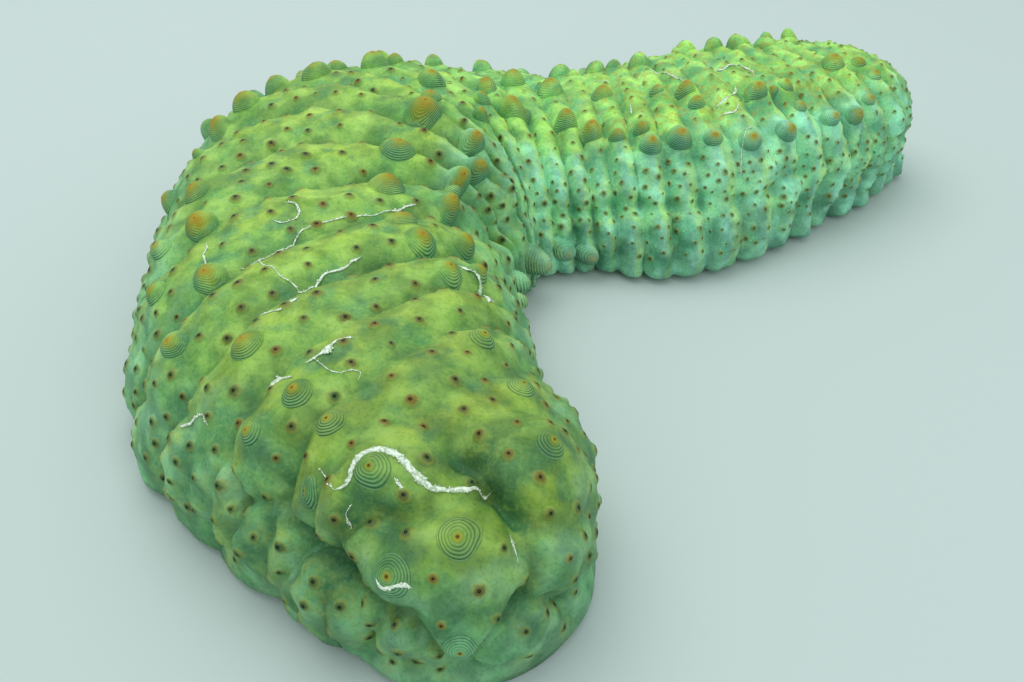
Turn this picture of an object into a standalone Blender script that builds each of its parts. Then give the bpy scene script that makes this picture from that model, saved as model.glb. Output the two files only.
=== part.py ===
"""Green sea cucumber lying in a bend on its flat sole, life size.

Metres, +Z up. The origin lies on the sole under the front of the bend, the
floor is z = 0, and the body runs from the head end (-Y) round to the tail
end (+X). Stations are distances in millimetres along the middle of the body
from the head end. Girth is the share of the way over the back, from 0 at the
right edge of the sole, looking from head to tail, to 1 at the left edge.
"""

import math
import random

import bmesh
import bpy
import numpy as np
from mathutils import Vector

MM = 0.001
MODEL = "sea_cucumber"

# The middle of the body seen from above, x and y in millimetres, head first
MIDLINE = (
    (48, -163), (37.5, -135), (23.5, -109), (9.5, -77), (-0.5, -51),
    (-5.5, -27), (0, 0), (15.5, 23), (38.5, 38.5), (65.5, 44),
    (94.5, 46), (122.5, 52), (147.5, 63), (170.5, 78), (189.5, 94),
)

# Station, half width to the right, half width to the left, height
GIRTHS = (
    (0, 27.5, 25, 38), (25, 36, 32, 44), (60, 43.5, 45, 49), (95, 51.5, 54.5, 50),
    (125, 56, 51.5, 50), (144, 58, 51, 51), (172, 60, 57, 54), (200, 60, 63, 54),
    (228, 57, 59, 46.5), (255, 53, 54, 40.5), (275, 54, 51, 42), (300, 54, 50, 46.5),
    (330, 50, 46, 49), (360, 44, 41, 46.5), (400, 33, 34, 43),
)
SECTION_POWER = 0.8     # 1 is an ellipse, less is squarer
EDGE_LIFT = 2.5         # the edge of the sole above the floor
SOLE_SHARE = 0.9        # half width of the flat sole against the body's
END_LENGTH = 26.0       # the rounded stretch at each end
END_POWER = 2.3
END_HEIGHTS = (0.35, 0.72)  # height left at the very tip of the head and of the tail

# Stations of the folds' crests on the middle of the back
CRESTS = (
    15, 29, 44, 61, 79, 97, 122, 148, 168, 186, 200, 213, 226, 238,
    249, 259, 268, 277, 286, 294, 302, 311, 320, 329, 338, 348, 358, 368,
    377, 385,
)

# Each length of the body and the number of folds on it
LENGTHS = (
    ("head_end", 3), ("fore_trunk", 3), ("mid_trunk", 2), ("bend_front", 2),
    ("bend_rear", 3), ("hind_trunk", 5), ("rear_trunk", 6), ("tail_end", 6),
)
GAP = 0.3               # between one length and the next
SKIN = (0.30, 0.46, 0.14, 1.0)

# Folds: station and depth of the crease between two crests
FOLD_DEPTHS = ((0, 0.8), (45, 2.8), (180, 3.4), (250, 2.8), (394, 1.8))
FOLD_ROUNDNESS = 0.7
FOLD_LAG = 56.0         # how much further along its right end lies, per share of girth
FOLD_LAG_LIMIT = 0.22   # the share of girth past which a fold runs straight down
FOLD_LAG_GROWS = (0, 50)
FOLD_LAG_FADES = (190, 245)
# Creases that die out on the inner side of the bend, and the girths between which they do
MERGED_CREASES = (10, 12, 14)
MERGED_GIRTHS = (0.24, 0.42)
RINGS_PER_FOLD = 4
TIP_RINGS = (0.4, 1.5, 3.5, 6.5, 10.5)

# The crease along each flank, with the feet of the folds bulging under it
FLANK_CREASE = 0.13
FLANK_CREASE_WIDTH = 0.03
FLANK_CREASE_DEPTH = 2.4
FOOT_BULGE = 1.2
# Station, and how far the feet of the folds draw in there
LOW_TUCKS = (
    (0, 4.0), (30, 4.0), (90, 0.0), (262, 0.0), (280, -4.0), (300, -4.0), (315, 2.0),
    (335, 7.0), (394, 8.0),
)
HALF_RING = (0, 0.045, 0.09, 0.13, 0.17, 0.22, 0.27, 0.32, 0.38, 0.44, 0.5)

# Rounded swellings of the head end: station, girth, radius, rise
HEAD_SWELLINGS = (
    (3, 0.55, 23, 4.5), (21, 0.62, 17, 3.6), (31, 0.78, 12, 2.6),
    (23, 0.36, 16, 3.2), (9, 0.24, 13, 2.8), (12, 0.93, 13, 3.0),
    (36, 0.92, 12, 2.6), (26, 0.08, 13, 2.6), (3, 0.08, 10, 2.4),
)

# Rows of papillae, each as stations with the row's place on the girth
PAPILLA_ROWS = (
    ((62, 0.30), (87, 0.306), (100, 0.325), (138, 0.273), (164, 0.254), (184, 0.30),
     (223, 0.40), (258, 0.41), (271, 0.365), (284, 0.30), (309, 0.256), (352, 0.245)),
    ((40, 0.35), (70, 0.373), (100, 0.412), (121, 0.407), (152, 0.393), (181, 0.414),
     (209, 0.49), (254, 0.52), (269, 0.48), (294, 0.43), (313, 0.371), (350, 0.40)),
    ((40, 0.625), (55, 0.636), (75, 0.651), (125, 0.643), (150, 0.66), (200, 0.65),
     (245, 0.591), (262, 0.62), (293, 0.655), (325, 0.62), (340, 0.56), (352, 0.55)),
    ((50, 0.73), (62, 0.736), (94, 0.753), (133, 0.74), (178, 0.756), (215, 0.79),
     (300, 0.80), (355, 0.79)),
)
# Papillae on the swellings of the head end: station, girth
HEAD_PAPILLAE = (
    (1.5, 0.76), (8, 0.702), (8, 0.531), (17, 0.318), (24, 0.611), (34, 0.73), (29, 0.331),
)
# Station, width at the root and height of a papilla
PAPILLA_SIZES = (
    (0, 7.4, 2.4), (30, 7.8, 2.8), (60, 8.8, 3.8), (120, 9.4, 5.0), (190, 10.2, 6.4),
    (240, 8.4, 5.6), (262, 7.4, 5.0), (300, 6.6, 4.4), (394, 6.0, 3.9),
)
PAPILLA_SIDES = 7
# A papilla's outline: width against the root's, and height against its whole height
PAPILLA_OUTLINE = ((0.80, 0.5), (0.32, 1.0))
PAPILLA_ROOT = 3.0      # sunk into the body
PAPILLA_ROOM = 0.9      # most width against the fold that it stands on
PAPILLA_SPREAD = 0.12   # most that a papilla's size differs from its row's
PAPILLA_CLEAR = 0.5     # least distance between two, against their widths together
PAPILLA_LEAN = 0.15     # how much it turns up from the skin it stands on
PAPILLA_SEED = 7


def spline(knots, values, at):
    """Natural cubic spline through the values at the knots, read at any places."""
    knots, values, at = (np.asarray(a, float) for a in (knots, values, at))
    step, last = np.diff(knots), len(knots) - 1
    system, right = np.eye(len(knots)), np.zeros_like(values)
    for i in range(1, last):
        system[i, i - 1:i + 2] = step[i - 1], 2 * (step[i - 1] + step[i]), step[i]
        rise = (values[i + 1] - values[i]) / step[i]
        right[i] = 6 * (rise - (values[i] - values[i - 1]) / step[i - 1])
    bend = np.linalg.solve(system, right)
    k = np.clip(np.searchsorted(knots, at, side="right") - 1, 0, last - 1)
    t, h = (at - knots[k])[:, None], step[k][:, None]
    slope = (values[k + 1] - values[k]) / h - h * (2 * bend[k] + bend[k + 1]) / 6
    return values[k] + t * slope + t**2 * bend[k] / 2 + t**3 * (bend[k + 1] - bend[k]) / (6 * h)


def measured_body(samples=3000):
    """Stations along the spline through MIDLINE, with the body's sizes at each.

    The columns are the middle's x and y, the heading's x and y, the half
    widths to the right and left, and the height.
    """
    points, girths = np.array(MIDLINE, float), np.array(GIRTHS, float)
    chord = np.concatenate([[0], np.cumsum(np.hypot(*np.diff(points, axis=0).T))])
    curve = spline(chord, points, np.linspace(0, chord[-1], samples))
    station = np.concatenate([[0], np.cumsum(np.hypot(*np.diff(curve, axis=0).T))])
    heading = np.gradient(curve, axis=0)
    heading /= np.hypot(*heading.T)[:, None]
    return station, np.hstack([curve, heading, spline(girths[:, 0], girths[:, 1:], station)])


STATION, BODY = measured_body()
BODY_LENGTH = STATION[-1]


def smooth_step(edges, at):
    """0 before the first edge, 1 after the second, and a soft S between them."""
    t = min(max((at - edges[0]) / (edges[1] - edges[0]), 0), 1)
    return t * t * (3 - 2 * t)


def end_taper(station):
    """1 along the body, falling to 0 at both tips as a rounded end does."""
    shares = (max(0, 1 - rest / END_LENGTH) for rest in (station, BODY_LENGTH - station))
    return math.prod((1 - share**END_POWER) ** (1 / END_POWER) for share in shares)


def body_point(station, girth, rise=0.0):
    """A point of the smooth body in millimetres, moved out of its skin by the rise."""
    x, y, ahead_x, ahead_y, right, left, tall = (
        np.interp(station, STATION, column) for column in BODY.T
    )
    ahead = Vector((ahead_x, ahead_y, 0)).normalized()
    across = Vector((ahead.y, -ahead.x, 0))
    taper, nudge = end_taper(station), 0.05
    end_height = END_HEIGHTS[station > BODY_LENGTH / 2]
    shrink = (end_taper(station + nudge) - end_taper(station - nudge)) / (2 * nudge)
    side, up = math.cos(math.pi * girth), max(math.sin(math.pi * girth), 0.0)
    half = (right if side > 0 else left) * taper
    kept = end_height + (1 - end_height) * taper
    tall *= kept
    out = half * math.copysign(abs(side) ** SECTION_POWER, side)
    z = EDGE_LIFT + (tall - EDGE_LIFT) * up**SECTION_POWER
    point = Vector((x, y, z)) + across * out
    if not rise:
        return point
    # The skin's normal in the section, tipped towards the end where the body tapers
    normal_out = math.copysign(abs(side) ** (2 - SECTION_POWER), side) / half
    normal_up = up ** (2 - SECTION_POWER) / tall
    size = math.hypot(normal_out, normal_up)
    height_shrink = (1 - end_height) * shrink / kept
    tip = (normal_out * out * shrink / taper + normal_up * z * height_shrink) / size
    normal = across * normal_out / size + Vector((0, 0, normal_up / size)) - ahead * tip
    return point + normal.normalized() * rise


def fold_lag(station, girth):
    """How much further along than on the middle of the back a fold lies here."""
    turned = smooth_step(FOLD_LAG_GROWS, station) * (1 - smooth_step(FOLD_LAG_FADES, station))
    share = FOLD_LAG_LIMIT * math.tanh((0.5 - girth) / FOLD_LAG_LIMIT)
    return FOLD_LAG * turned * share


def skin_rise(station, girth, smooth):
    """Height of the folds, flank creases and swellings over the smooth body."""
    fold = np.interp(station, CRESTS, range(len(CRESTS)))
    roll = abs(math.cos(math.pi * fold)) ** FOLD_ROUNDNESS
    if int(fold) in MERGED_CREASES:
        roll += (1 - roll) * (1 - smooth_step(MERGED_GIRTHS, girth))
    rise = -np.interp(station, *zip(*FOLD_DEPTHS)) * (1 - roll)
    flank = min(girth, 1 - girth)
    crease = math.exp(-(((flank - FLANK_CREASE) / FLANK_CREASE_WIDTH) ** 2))
    rise -= FLANK_CREASE_DEPTH * crease
    if flank < FLANK_CREASE:
        low = math.sin(math.pi * (FLANK_CREASE - flank) / FLANK_CREASE / 1.6)
        rise += FOOT_BULGE * roll * low
        rise -= np.interp(station, *zip(*LOW_TUCKS)) * low
    for where, around, radius, height in HEAD_SWELLINGS:
        share = (smooth - body_point(where, around)).length / radius
        rise += height * max(0, 1 - share**2) ** 1.5
    return rise


def skin_point(station, girth):
    """A point of the folded skin, given its fold's station on the middle of the back."""
    tip = TIP_RINGS[0] / 2
    along = min(max(station + fold_lag(station, girth), tip), BODY_LENGTH - tip)
    smooth = body_point(along, girth)
    return body_point(along, girth, skin_rise(station, girth, smooth))


def ring(station):
    """One ring of skin: over the back from right to left, then the sole's edges."""
    places = [*HALF_RING, *(1 - girth for girth in HALF_RING[-2::-1])]
    points = [skin_point(station, girth) for girth in places]
    middle = (points[0] + points[-1]) / 2
    for edge in (points[-1], points[0]):
        sole = middle.lerp(edge, SOLE_SHARE)
        points.append(Vector((sole.x, sole.y, 0)))
    return points


def ring_stations(first, last):
    """Where the rings of the folds from first up to last lie, and those of a tip."""
    count = round((last - first) * RINGS_PER_FOLD)
    folds = [first + i / RINGS_PER_FOLD for i in range(count + 1)]
    inner = [np.interp(f, range(len(CRESTS)), CRESTS) for f in folds if 0 <= f < len(CRESTS) - 0.5]
    head = TIP_RINGS if first < 0 else ()
    tail = [BODY_LENGTH - s for s in TIP_RINGS[-2::-1]] if last > len(CRESTS) - 1 else ()
    return [*head, *inner, *tail]


def length_mesh(name, first, last):
    """A closed loft of the body over the folds from first up to last."""
    stations = ring_stations(first, last)
    rings = [ring(s) for s in stations]
    for end, way in ((0, 1), (-1, -1)):
        if TIP_RINGS[0] < stations[end] < BODY_LENGTH - TIP_RINGS[0]:
            ahead = [np.interp(stations[end], STATION, c) for c in BODY.T[2:4]]
            clear = Vector((*ahead, 0)).normalized() * way * GAP / 2
            rings[end] = [p + clear for p in rings[end]]
    shape = bmesh.new()
    rows = [[shape.verts.new(p * MM) for p in points] for points in rings]
    count = len(rows[0])
    for near, far in zip(rows, rows[1:]):
        for i in range(count):
            j = (i + 1) % count
            shape.faces.new((near[i], near[j], far[j], far[i]))
    for row in (rows[0], rows[-1]):
        centre = shape.verts.new(sum((v.co for v in row), Vector()) / count)
        for i in range(count):
            shape.faces.new((row[i], row[(i + 1) % count], centre))
    bmesh.ops.recalc_face_normals(shape, faces=shape.faces)
    mesh = bpy.data.meshes.new(name)
    shape.to_mesh(mesh)
    shape.free()
    return mesh


def papilla_mesh(name, place, way, width, height):
    """A blunt, swelling cone whose root is sunk into the skin at a place."""
    shape = bmesh.new()
    outline = [(width / 2, -PAPILLA_ROOT)]
    outline += [(width / 2 * wide, height * high) for wide, high in PAPILLA_OUTLINE]
    corners = [shape.verts.new((out * MM, 0, up * MM)) for out, up in outline]
    edges = [shape.edges.new(pair) for pair in zip(corners, corners[1:])]
    bmesh.ops.spin(
        shape, geom=corners + edges, axis=(0, 0, 1), cent=(0, 0, 0),
        angle=2 * math.pi, steps=PAPILLA_SIDES, use_merge=True,
    )
    bmesh.ops.holes_fill(shape, edges=shape.edges, sides=PAPILLA_SIDES)
    bmesh.ops.recalc_face_normals(shape, faces=shape.faces)
    turn = Vector((0, 0, 1)).rotation_difference(way).to_matrix()
    bmesh.ops.rotate(shape, matrix=turn, verts=shape.verts)
    bmesh.ops.translate(shape, vec=place * MM, verts=shape.verts)
    mesh = bpy.data.meshes.new(name)
    shape.to_mesh(mesh)
    shape.free()
    return mesh


def fold_width(fold, girth):
    """Distance along the body from one side of a fold to the other."""
    sides = np.interp((fold - 0.5, fold + 0.5), range(-1, len(CRESTS)), (0, *CRESTS))
    points = [body_point(side + fold_lag(side, girth), girth) for side in sides]
    return (points[1] - points[0]).length


def papilla_at(station, girth, size):
    """Place, direction, width and height of a papilla on the fold of this station."""
    stations, widths, heights = zip(*PAPILLA_SIZES)
    along = station + fold_lag(station, girth)
    normal = (body_point(along, girth, 1.0) - body_point(along, girth)).normalized()
    way = (normal + Vector((0, 0, PAPILLA_LEAN))).normalized()
    width, height = (np.interp(station, stations, sizes) * size for sizes in (widths, heights))
    return skin_point(station, girth), way, width, height


def papillae_of_body(draw):
    """Each papilla's fold and what papilla_at gives, head end first and then row by row."""
    sizes = (1 - PAPILLA_SPREAD, 1 + PAPILLA_SPREAD)
    for station, girth in HEAD_PAPILLAE:
        yield 0, *papilla_at(station, girth, draw.uniform(*sizes))
    placed = []
    for row in PAPILLA_ROWS:
        for fold, station in enumerate(CRESTS):
            if not row[0][0] <= station <= row[-1][0]:
                continue
            girth = np.interp(station, *zip(*row))
            place, way, width, height = papilla_at(station, girth, draw.uniform(*sizes))
            width = min(width, PAPILLA_ROOM * fold_width(fold, girth))
            if all((place - p).length > PAPILLA_CLEAR * (width + w) for p, w in placed):
                placed.append((place, width))
                yield fold, place, way, width, height


def fuse(body, collection):
    """Joins a collection's meshes to the body and keeps the largest closed surface."""
    union = body.modifiers.new("papillae", "BOOLEAN")
    union.operation, union.solver = "UNION", "EXACT"
    union.operand_type, union.collection = "COLLECTION", collection
    graph = bpy.context.evaluated_depsgraph_get()
    joined = bpy.data.meshes.new_from_object(body.evaluated_get(graph))
    body.modifiers.clear()
    body.data = joined
    for helper in list(collection.objects):
        bpy.data.objects.remove(helper, do_unlink=True)
    bpy.data.collections.remove(collection)
    shape = bmesh.new()
    shape.from_mesh(joined)
    loose, surfaces = set(shape.verts), []
    while loose:
        found, edge = set(), [loose.pop()]
        while edge:
            vertex = edge.pop()
            found.add(vertex)
            near = {e.other_vert(vertex) for e in vertex.link_edges} & loose
            loose -= near
            edge.extend(near)
        surfaces.append(found)
    scraps = [v for found in sorted(surfaces, key=len)[:-1] for v in found]
    bmesh.ops.delete(shape, geom=scraps, context="VERTS")
    shape.to_mesh(joined)
    shape.free()


def skin_material(name, tone):
    """Moist skin, lighter or darker by tone."""
    material = bpy.data.materials.new(name)
    material.use_nodes = True
    shader = material.node_tree.nodes["Principled BSDF"]
    shader.inputs["Base Color"].default_value = [c * tone for c in SKIN[:3]] + [1]
    shader.inputs["Roughness"].default_value = 0.45
    return material


def main():
    for thing in list(bpy.data.objects):
        bpy.data.objects.remove(thing, do_unlink=True)
    group = bpy.data.collections.new(MODEL)
    bpy.context.scene.collection.children.link(group)
    papillae = list(papillae_of_body(random.Random(PAPILLA_SEED)))
    first = -0.5
    for number, (name, folds) in enumerate(LENGTHS):
        last = first + folds
        body = bpy.data.objects.new(name, length_mesh(name, first, last))
        body.data.materials.append(skin_material(name + "_skin", 1 - 0.08 * (number % 2)))
        group.objects.link(body)
        helpers = bpy.data.collections.new(name + "_papillae")
        bpy.context.scene.collection.children.link(helpers)
        for fold, *shape in papillae:
            if first < fold < last:
                papilla = bpy.data.objects.new("papilla", papilla_mesh("papilla", *shape))
                helpers.objects.link(papilla)
        fuse(body, helpers)
        body.data.shade_smooth()
        first = last


main()
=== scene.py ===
"""Looks of a life-size green sea cucumber lying in a bend on its flat sole.

One fine skin, with the puckered vent at the tail end, stands for the body's
lengths. Ringed papillae, ringed feet, small sunken podia and threads of slime
are built over the same body form. Body sizes are in millimetres, as stations
along the middle of the body from the head end, and girths from 0 at the right
edge of the sole, over the back, to 1 at the left edge.
"""

import logging
import math
from dataclasses import dataclass, field, replace
from enum import Enum

import bmesh
import bpy
import numpy as np
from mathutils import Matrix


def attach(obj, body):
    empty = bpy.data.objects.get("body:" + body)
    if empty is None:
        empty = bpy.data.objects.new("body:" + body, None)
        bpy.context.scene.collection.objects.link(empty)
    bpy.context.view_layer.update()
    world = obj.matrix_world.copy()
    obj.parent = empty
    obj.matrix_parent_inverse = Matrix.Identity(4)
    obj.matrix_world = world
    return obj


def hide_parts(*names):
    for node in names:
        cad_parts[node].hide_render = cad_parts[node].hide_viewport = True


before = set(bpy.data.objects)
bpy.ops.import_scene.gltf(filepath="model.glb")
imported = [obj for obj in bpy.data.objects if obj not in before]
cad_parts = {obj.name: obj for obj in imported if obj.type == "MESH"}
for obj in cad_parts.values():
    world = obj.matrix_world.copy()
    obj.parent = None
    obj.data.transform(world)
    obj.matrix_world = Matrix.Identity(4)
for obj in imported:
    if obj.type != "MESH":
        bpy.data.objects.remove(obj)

LOG = logging.getLogger("sea_cucumber")
MM = 0.001
BODY = "root"
PHOTO_WIDTH = 1024
SENSOR = 36.0


class Knob(Enum):
    """Kinds of raised points on the skin."""

    PAPILLA = "papilla"
    FOOT = "foot"
    PODIUM = "podium"


@dataclass(frozen=True)
class BodyPlan:
    """Driving sizes in millimetres: the solids' midline, girths and crests, and finer folds."""

    midline: tuple = (
        (48, -163), (37.5, -135), (23.5, -109), (9.5, -77), (-0.5, -51),
        (-5.5, -27), (0, 0), (15.5, 23), (38.5, 38.5), (65.5, 44),
        (94.5, 46), (122.5, 52), (147.5, 63), (170.5, 78), (189.5, 94),
    )
    girths: tuple = (
        (0, 27.5, 25, 38), (25, 36, 32, 44), (60, 43.5, 45, 49), (95, 51.5, 54.5, 50),
        (125, 56, 51.5, 50), (144, 58, 51, 51), (172, 60, 57, 54), (200, 60, 63, 54),
        (228, 57, 59, 46.5), (255, 53, 54, 40.5), (275, 54, 51, 42), (300, 54, 50, 46.5),
        (330, 50, 46, 49), (360, 44, 41, 46.5), (400, 33, 34, 43),
    )
    crests: tuple = (
        15, 29, 44, 61, 79, 97, 122, 148, 168, 186, 200, 213, 226, 238,
        249, 259, 268, 277, 286, 294, 302, 311, 320, 329, 338, 348, 358, 368,
        377, 385,
    )
    section_power: float = 0.8
    edge_lift: float = 2.5
    sole_share: float = 0.9
    end_length: float = 26.0
    end_power: float = 2.3
    end_heights: tuple = (0.35, 0.72)
    fold_depths: tuple = (
        (0, 0.3), (30, 0.9), (55, 3.4), (90, 4.0), (180, 4.4), (235, 3.6), (280, 3.0), (394, 2.8),
    )
    fold_roundness: float = 0.6
    hind_roundness: float = 0.50
    merged_creases: tuple = (
        (8, 0.16, 0.24, 0.9), (10, 0.26, 0.42, 0.9), (12, 0.26, 0.42, 0.7), (13, 0.14, 0.20, 0.4),
    )
    fold_lag: float = 56.0
    fold_lag_limit: float = 0.22
    fold_lag_grows: tuple = (0, 50)
    fold_lag_fades: tuple = (225, 300)
    flank_crease: float = 0.13
    flank_crease_width: float = 0.028
    flank_crease_depth: float = 2.6
    foot_bulge: float = 1.2
    low_tucks: tuple = (
        (0, 4.0), (30, 4.0), (90, 0.0), (262, 0.0), (280, -4.0), (300, -4.0), (315, 2.0),
        (335, 7.0), (394, 8.0),
    )
    lobes: tuple = (
        (5, 0.61, 17.5, 5.0), (23, 0.628, 15.0, 4.2), (45, 0.661, 13.0, 1.6),
        (50, 0.74, 10.5, 2.4), (18, 0.373, 14.0, 3.4), (6, 0.298, 12.5, 3.8),
        (1, 0.069, 10.0, 2.6), (20, 0.935, 12.5, 4.2), (42, 0.897, 11.5, 3.4),
        (57, 0.903, 11.0, 3.0), (6, 0.86, 8.0, 3.2), (69, 0.89, 10.0, 2.2),
        (34, 0.12, 13.0, 2.4),
    )
    lobe_power: float = 0.7
    rows: tuple = (
        ((172, 0.80), (186, 0.78), (215, 0.79), (300, 0.80), (355, 0.79)),
        ((226, 0.68), (258, 0.745)),
        ((346, 0.66), (372, 0.60)),
    )
    papillae: tuple = (
        (1, 0.698, 7.1, 1.4), (10, 0.693, 8.1, 1.7), (9, 0.532, 7.7, 1.6), (18, 0.352, 6.7, 1.4),
        (26, 0.615, 7.1, 1.5), (41, 0.740, 7.4, 1.6), (31, 0.336, 6.8, 1.5), (47, 0.628, 6.8, 1.6),
        (44, 0.366, 6.6, 1.5), (62, 0.731, 5.3, 1.2), (58, 0.636, 6.9, 2.0), (78, 0.648, 7.6, 2.5),
        (96, 0.747, 6.6, 2.4), (109, 0.656, 8.2, 2.9), (122, 0.761, 6.4, 2.6), (132, 0.660, 8.4, 3.0),
        (136, 0.752, 6.0, 2.4), (149, 0.673, 7.8, 3.1), (160, 0.804, 7.2, 3.2), (168, 0.717, 3.6, 1.6),
        (178, 0.731, 7.8, 3.5), (185, 0.683, 8.6, 4.3), (199, 0.717, 8.4, 4.2), (201, 0.622, 9.4, 4.0),
        (210, 0.655, 6.8, 2.7), (213, 0.583, 8.8, 4.6), (223, 0.625, 5.6, 3.0),
        (71, 0.363, 7.7, 1.8), (88, 0.384, 8.0, 2.2), (104, 0.401, 7.8, 2.2), (123, 0.403, 9.3, 3.3),
        (154, 0.391, 9.8, 3.7), (181, 0.402, 10.2, 4.3), (197, 0.434, 6.8, 2.1), (214, 0.490, 8.5, 4.2),
        (75, 0.294, 5.6, 1.9), (89, 0.294, 6.8, 2.7), (111, 0.293, 6.8, 4.0), (138, 0.275, 7.5, 5.3),
        (164, 0.257, 7.1, 4.2), (183, 0.302, 7.4, 4.3), (214, 0.377, 5.9, 3.4), (227, 0.448, 6.0, 3.2),
        (235, 0.506, 6.5, 2.6), (241, 0.435, 10.4, 5.2), (248, 0.543, 8.1, 4.1), (258, 0.512, 8.4, 3.3),
        (267, 0.673, 8.2, 3.0), (271, 0.592, 5.1, 1.6), (278, 0.613, 6.9, 3.3), (285, 0.642, 5.5, 2.2),
        (295, 0.602, 8.0, 3.3), (317, 0.661, 8.9, 3.6), (328, 0.614, 6.6, 3.2), (335, 0.592, 6.6, 3.3),
        (346, 0.561, 8.0, 2.4), (274, 0.488, 6.9, 2.7), (290, 0.464, 4.7, 1.4), (298, 0.444, 6.7, 2.8),
        (302, 0.394, 5.3, 2.4), (317, 0.386, 7.0, 3.5), (325, 0.389, 5.0, 1.5), (333, 0.389, 5.8, 1.7),
        (354, 0.428, 7.8, 2.6), (365, 0.406, 5.4, 1.6), (366, 0.350, 5.3, 1.3), (258, 0.402, 7.3, 4.4),
        (265, 0.363, 7.2, 4.3), (274, 0.344, 5.2, 2.1), (281, 0.352, 4.9, 2.2), (286, 0.302, 7.1, 3.9),
        (295, 0.306, 8.4, 4.0), (303, 0.287, 5.8, 2.6), (311, 0.260, 7.1, 3.5), (323, 0.259, 7.2, 3.9),
        (335, 0.264, 6.0, 3.0), (344, 0.252, 6.1, 2.7), (329, 0.315, 4.6, 1.8), (354, 0.285, 4.8, 1.8),
    )
    papilla_scales: tuple = (
        (0, 0.98, 0.65), (45, 1.06, 0.7), (80, 1.24, 0.82), (240, 1.24, 0.86), (394, 1.12, 0.78),
    )
    settle_reach: float = 4.0
    papilla_sizes: tuple = (
        (150, 8.0, 3.6), (200, 9.0, 4.4), (240, 8.6, 4.0), (262, 7.8, 3.4), (300, 7.0, 3.0), (394, 6.2, 2.6),
    )
    furrows: tuple = (
        (2.2, (
            (44, 0.711, 0.8), (43, 0.765, 2.0), (35, 0.827, 3.4), (22, 0.819, 4.2),
            (15, 0.802, 4.2), (8, 0.798, 4.0), (5, 0.744, 3.2), (2, 0.819, 3.8),
            (0.3, 0.88, 3.6), (0.1, 0.50, 3.4), (1, 0.394, 3.4), (2.5, 0.34, 3.2),
            (5, 0.348, 3.0), (7, 0.402, 3.0), (10, 0.415, 3.0), (15, 0.46, 3.2),
            (18, 0.469, 3.0), (23, 0.486, 2.2), (26, 0.486, 0.8),
        )),
        (1.9, (
            (19, 0.798, 2.6), (21, 0.766, 2.8), (19, 0.71, 3.0), (18, 0.657, 2.8),
            (15, 0.623, 2.6), (13, 0.581, 2.0), (14, 0.506, 1.6), (15, 0.469, 2.4),
        )),
        (1.8, (
            (58, 0.777, 1.0), (53, 0.814, 2.2), (49, 0.857, 2.8), (45, 0.831, 2.8), (38, 0.81, 2.4),
        )),
        (1.8, ((49, 0.857, 2.6), (48, 0.886, 2.6), (51, 0.949, 2.0))),
        (1.8, ((31, 0.843, 2.2), (31, 0.877, 2.6), (32, 0.923, 2.2))),
        (1.8, ((7, 0.806, 2.4), (8, 0.856, 2.8), (9, 0.911, 2.6), (10, 0.961, 2.0))),
        (2.0, ((15, 0.46, 2.6), (11, 0.415, 2.6), (9, 0.359, 2.8), (10, 0.281, 2.4), (11, 0.233, 1.2))),
        (2.0, ((2, 0.367, 2.4), (2, 0.265, 2.6), (3, 0.219, 2.6), (3, 0.176, 2.6), (5, 0.069, 2.0))),
        (4.2, ((19, 0.837, 2.2), (14, 0.84, 1.8))),
        (4.5, ((25, 0.482, 2.0), (22, 0.47, 2.6), (20, 0.458, 2.2))),
    )


class SoftNoise:
    """Seeded smooth noise in space, from -1 to 1."""

    def __init__(self, seed: int, cells: int = 24) -> None:
        """Fills a lattice that repeats every so many cells."""
        self.cells = cells
        self.lattice = np.random.RandomState(seed).uniform(-1, 1, (cells,) * 3)

    def at(self, points: np.ndarray, scale: float) -> np.ndarray:
        """Reads the noise.

        Args:
            points: Places in millimetres, one a row.
            scale: Size of the noise's lumps in millimetres.

        Returns:
            One value a place.
        """
        place = points / scale
        low = np.floor(place).astype(int)
        part = place - low
        part = part * part * (3 - 2 * part)
        total = np.zeros(len(points))
        for corner in np.ndindex(2, 2, 2):
            weight = np.prod(np.where(corner, part, 1 - part), axis=1)
            cell = tuple(((low + corner) % self.cells).T)
            total += weight * self.lattice[cell]
        return total


def natural_spline(knots: np.ndarray, values: np.ndarray, at: np.ndarray) -> np.ndarray:
    """Natural cubic spline through the values at the knots.

    Args:
        knots: Rising places of the values.
        values: One row of values a knot.
        at: Places to read.

    Returns:
        One row a place read.
    """
    step, last = np.diff(knots), len(knots) - 1
    system, right = np.eye(len(knots)), np.zeros_like(values)
    for i in range(1, last):
        system[i, i - 1:i + 2] = step[i - 1], 2 * (step[i - 1] + step[i]), step[i]
        rise = (values[i + 1] - values[i]) / step[i]
        right[i] = 6 * (rise - (values[i] - values[i - 1]) / step[i - 1])
    bend = np.linalg.solve(system, right)
    k = np.clip(np.searchsorted(knots, at, side="right") - 1, 0, last - 1)
    t, h = (at - knots[k])[:, None], step[k][:, None]
    slope = (values[k + 1] - values[k]) / h - h * (2 * bend[k] + bend[k + 1]) / 6
    return values[k] + t * slope + t**2 * bend[k] / 2 + t**3 * (bend[k + 1] - bend[k]) / (6 * h)


def gap_to_path(points: np.ndarray, path: np.ndarray, weights: np.ndarray) -> tuple:
    """Distance from each point to a path of straight lengths.

    Args:
        points: Places, one a row.
        path: Corners of the path.
        weights: A number for each corner.

    Returns:
        The distances, and the weights read at the nearest places.
    """
    gap, weight = np.full(len(points), np.inf), np.zeros(len(points))
    for i in range(len(path) - 1):
        way = path[i + 1] - path[i]
        share = np.clip((points - path[i]) @ way / max(way @ way, 1e-9), 0, 1)
        reach = np.linalg.norm(points - path[i] - share[:, None] * way, axis=1)
        nearer = reach < gap
        gap[nearer] = reach[nearer]
        weight[nearer] = (weights[i] + share * (weights[i + 1] - weights[i]))[nearer]
    return gap, weight


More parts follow.
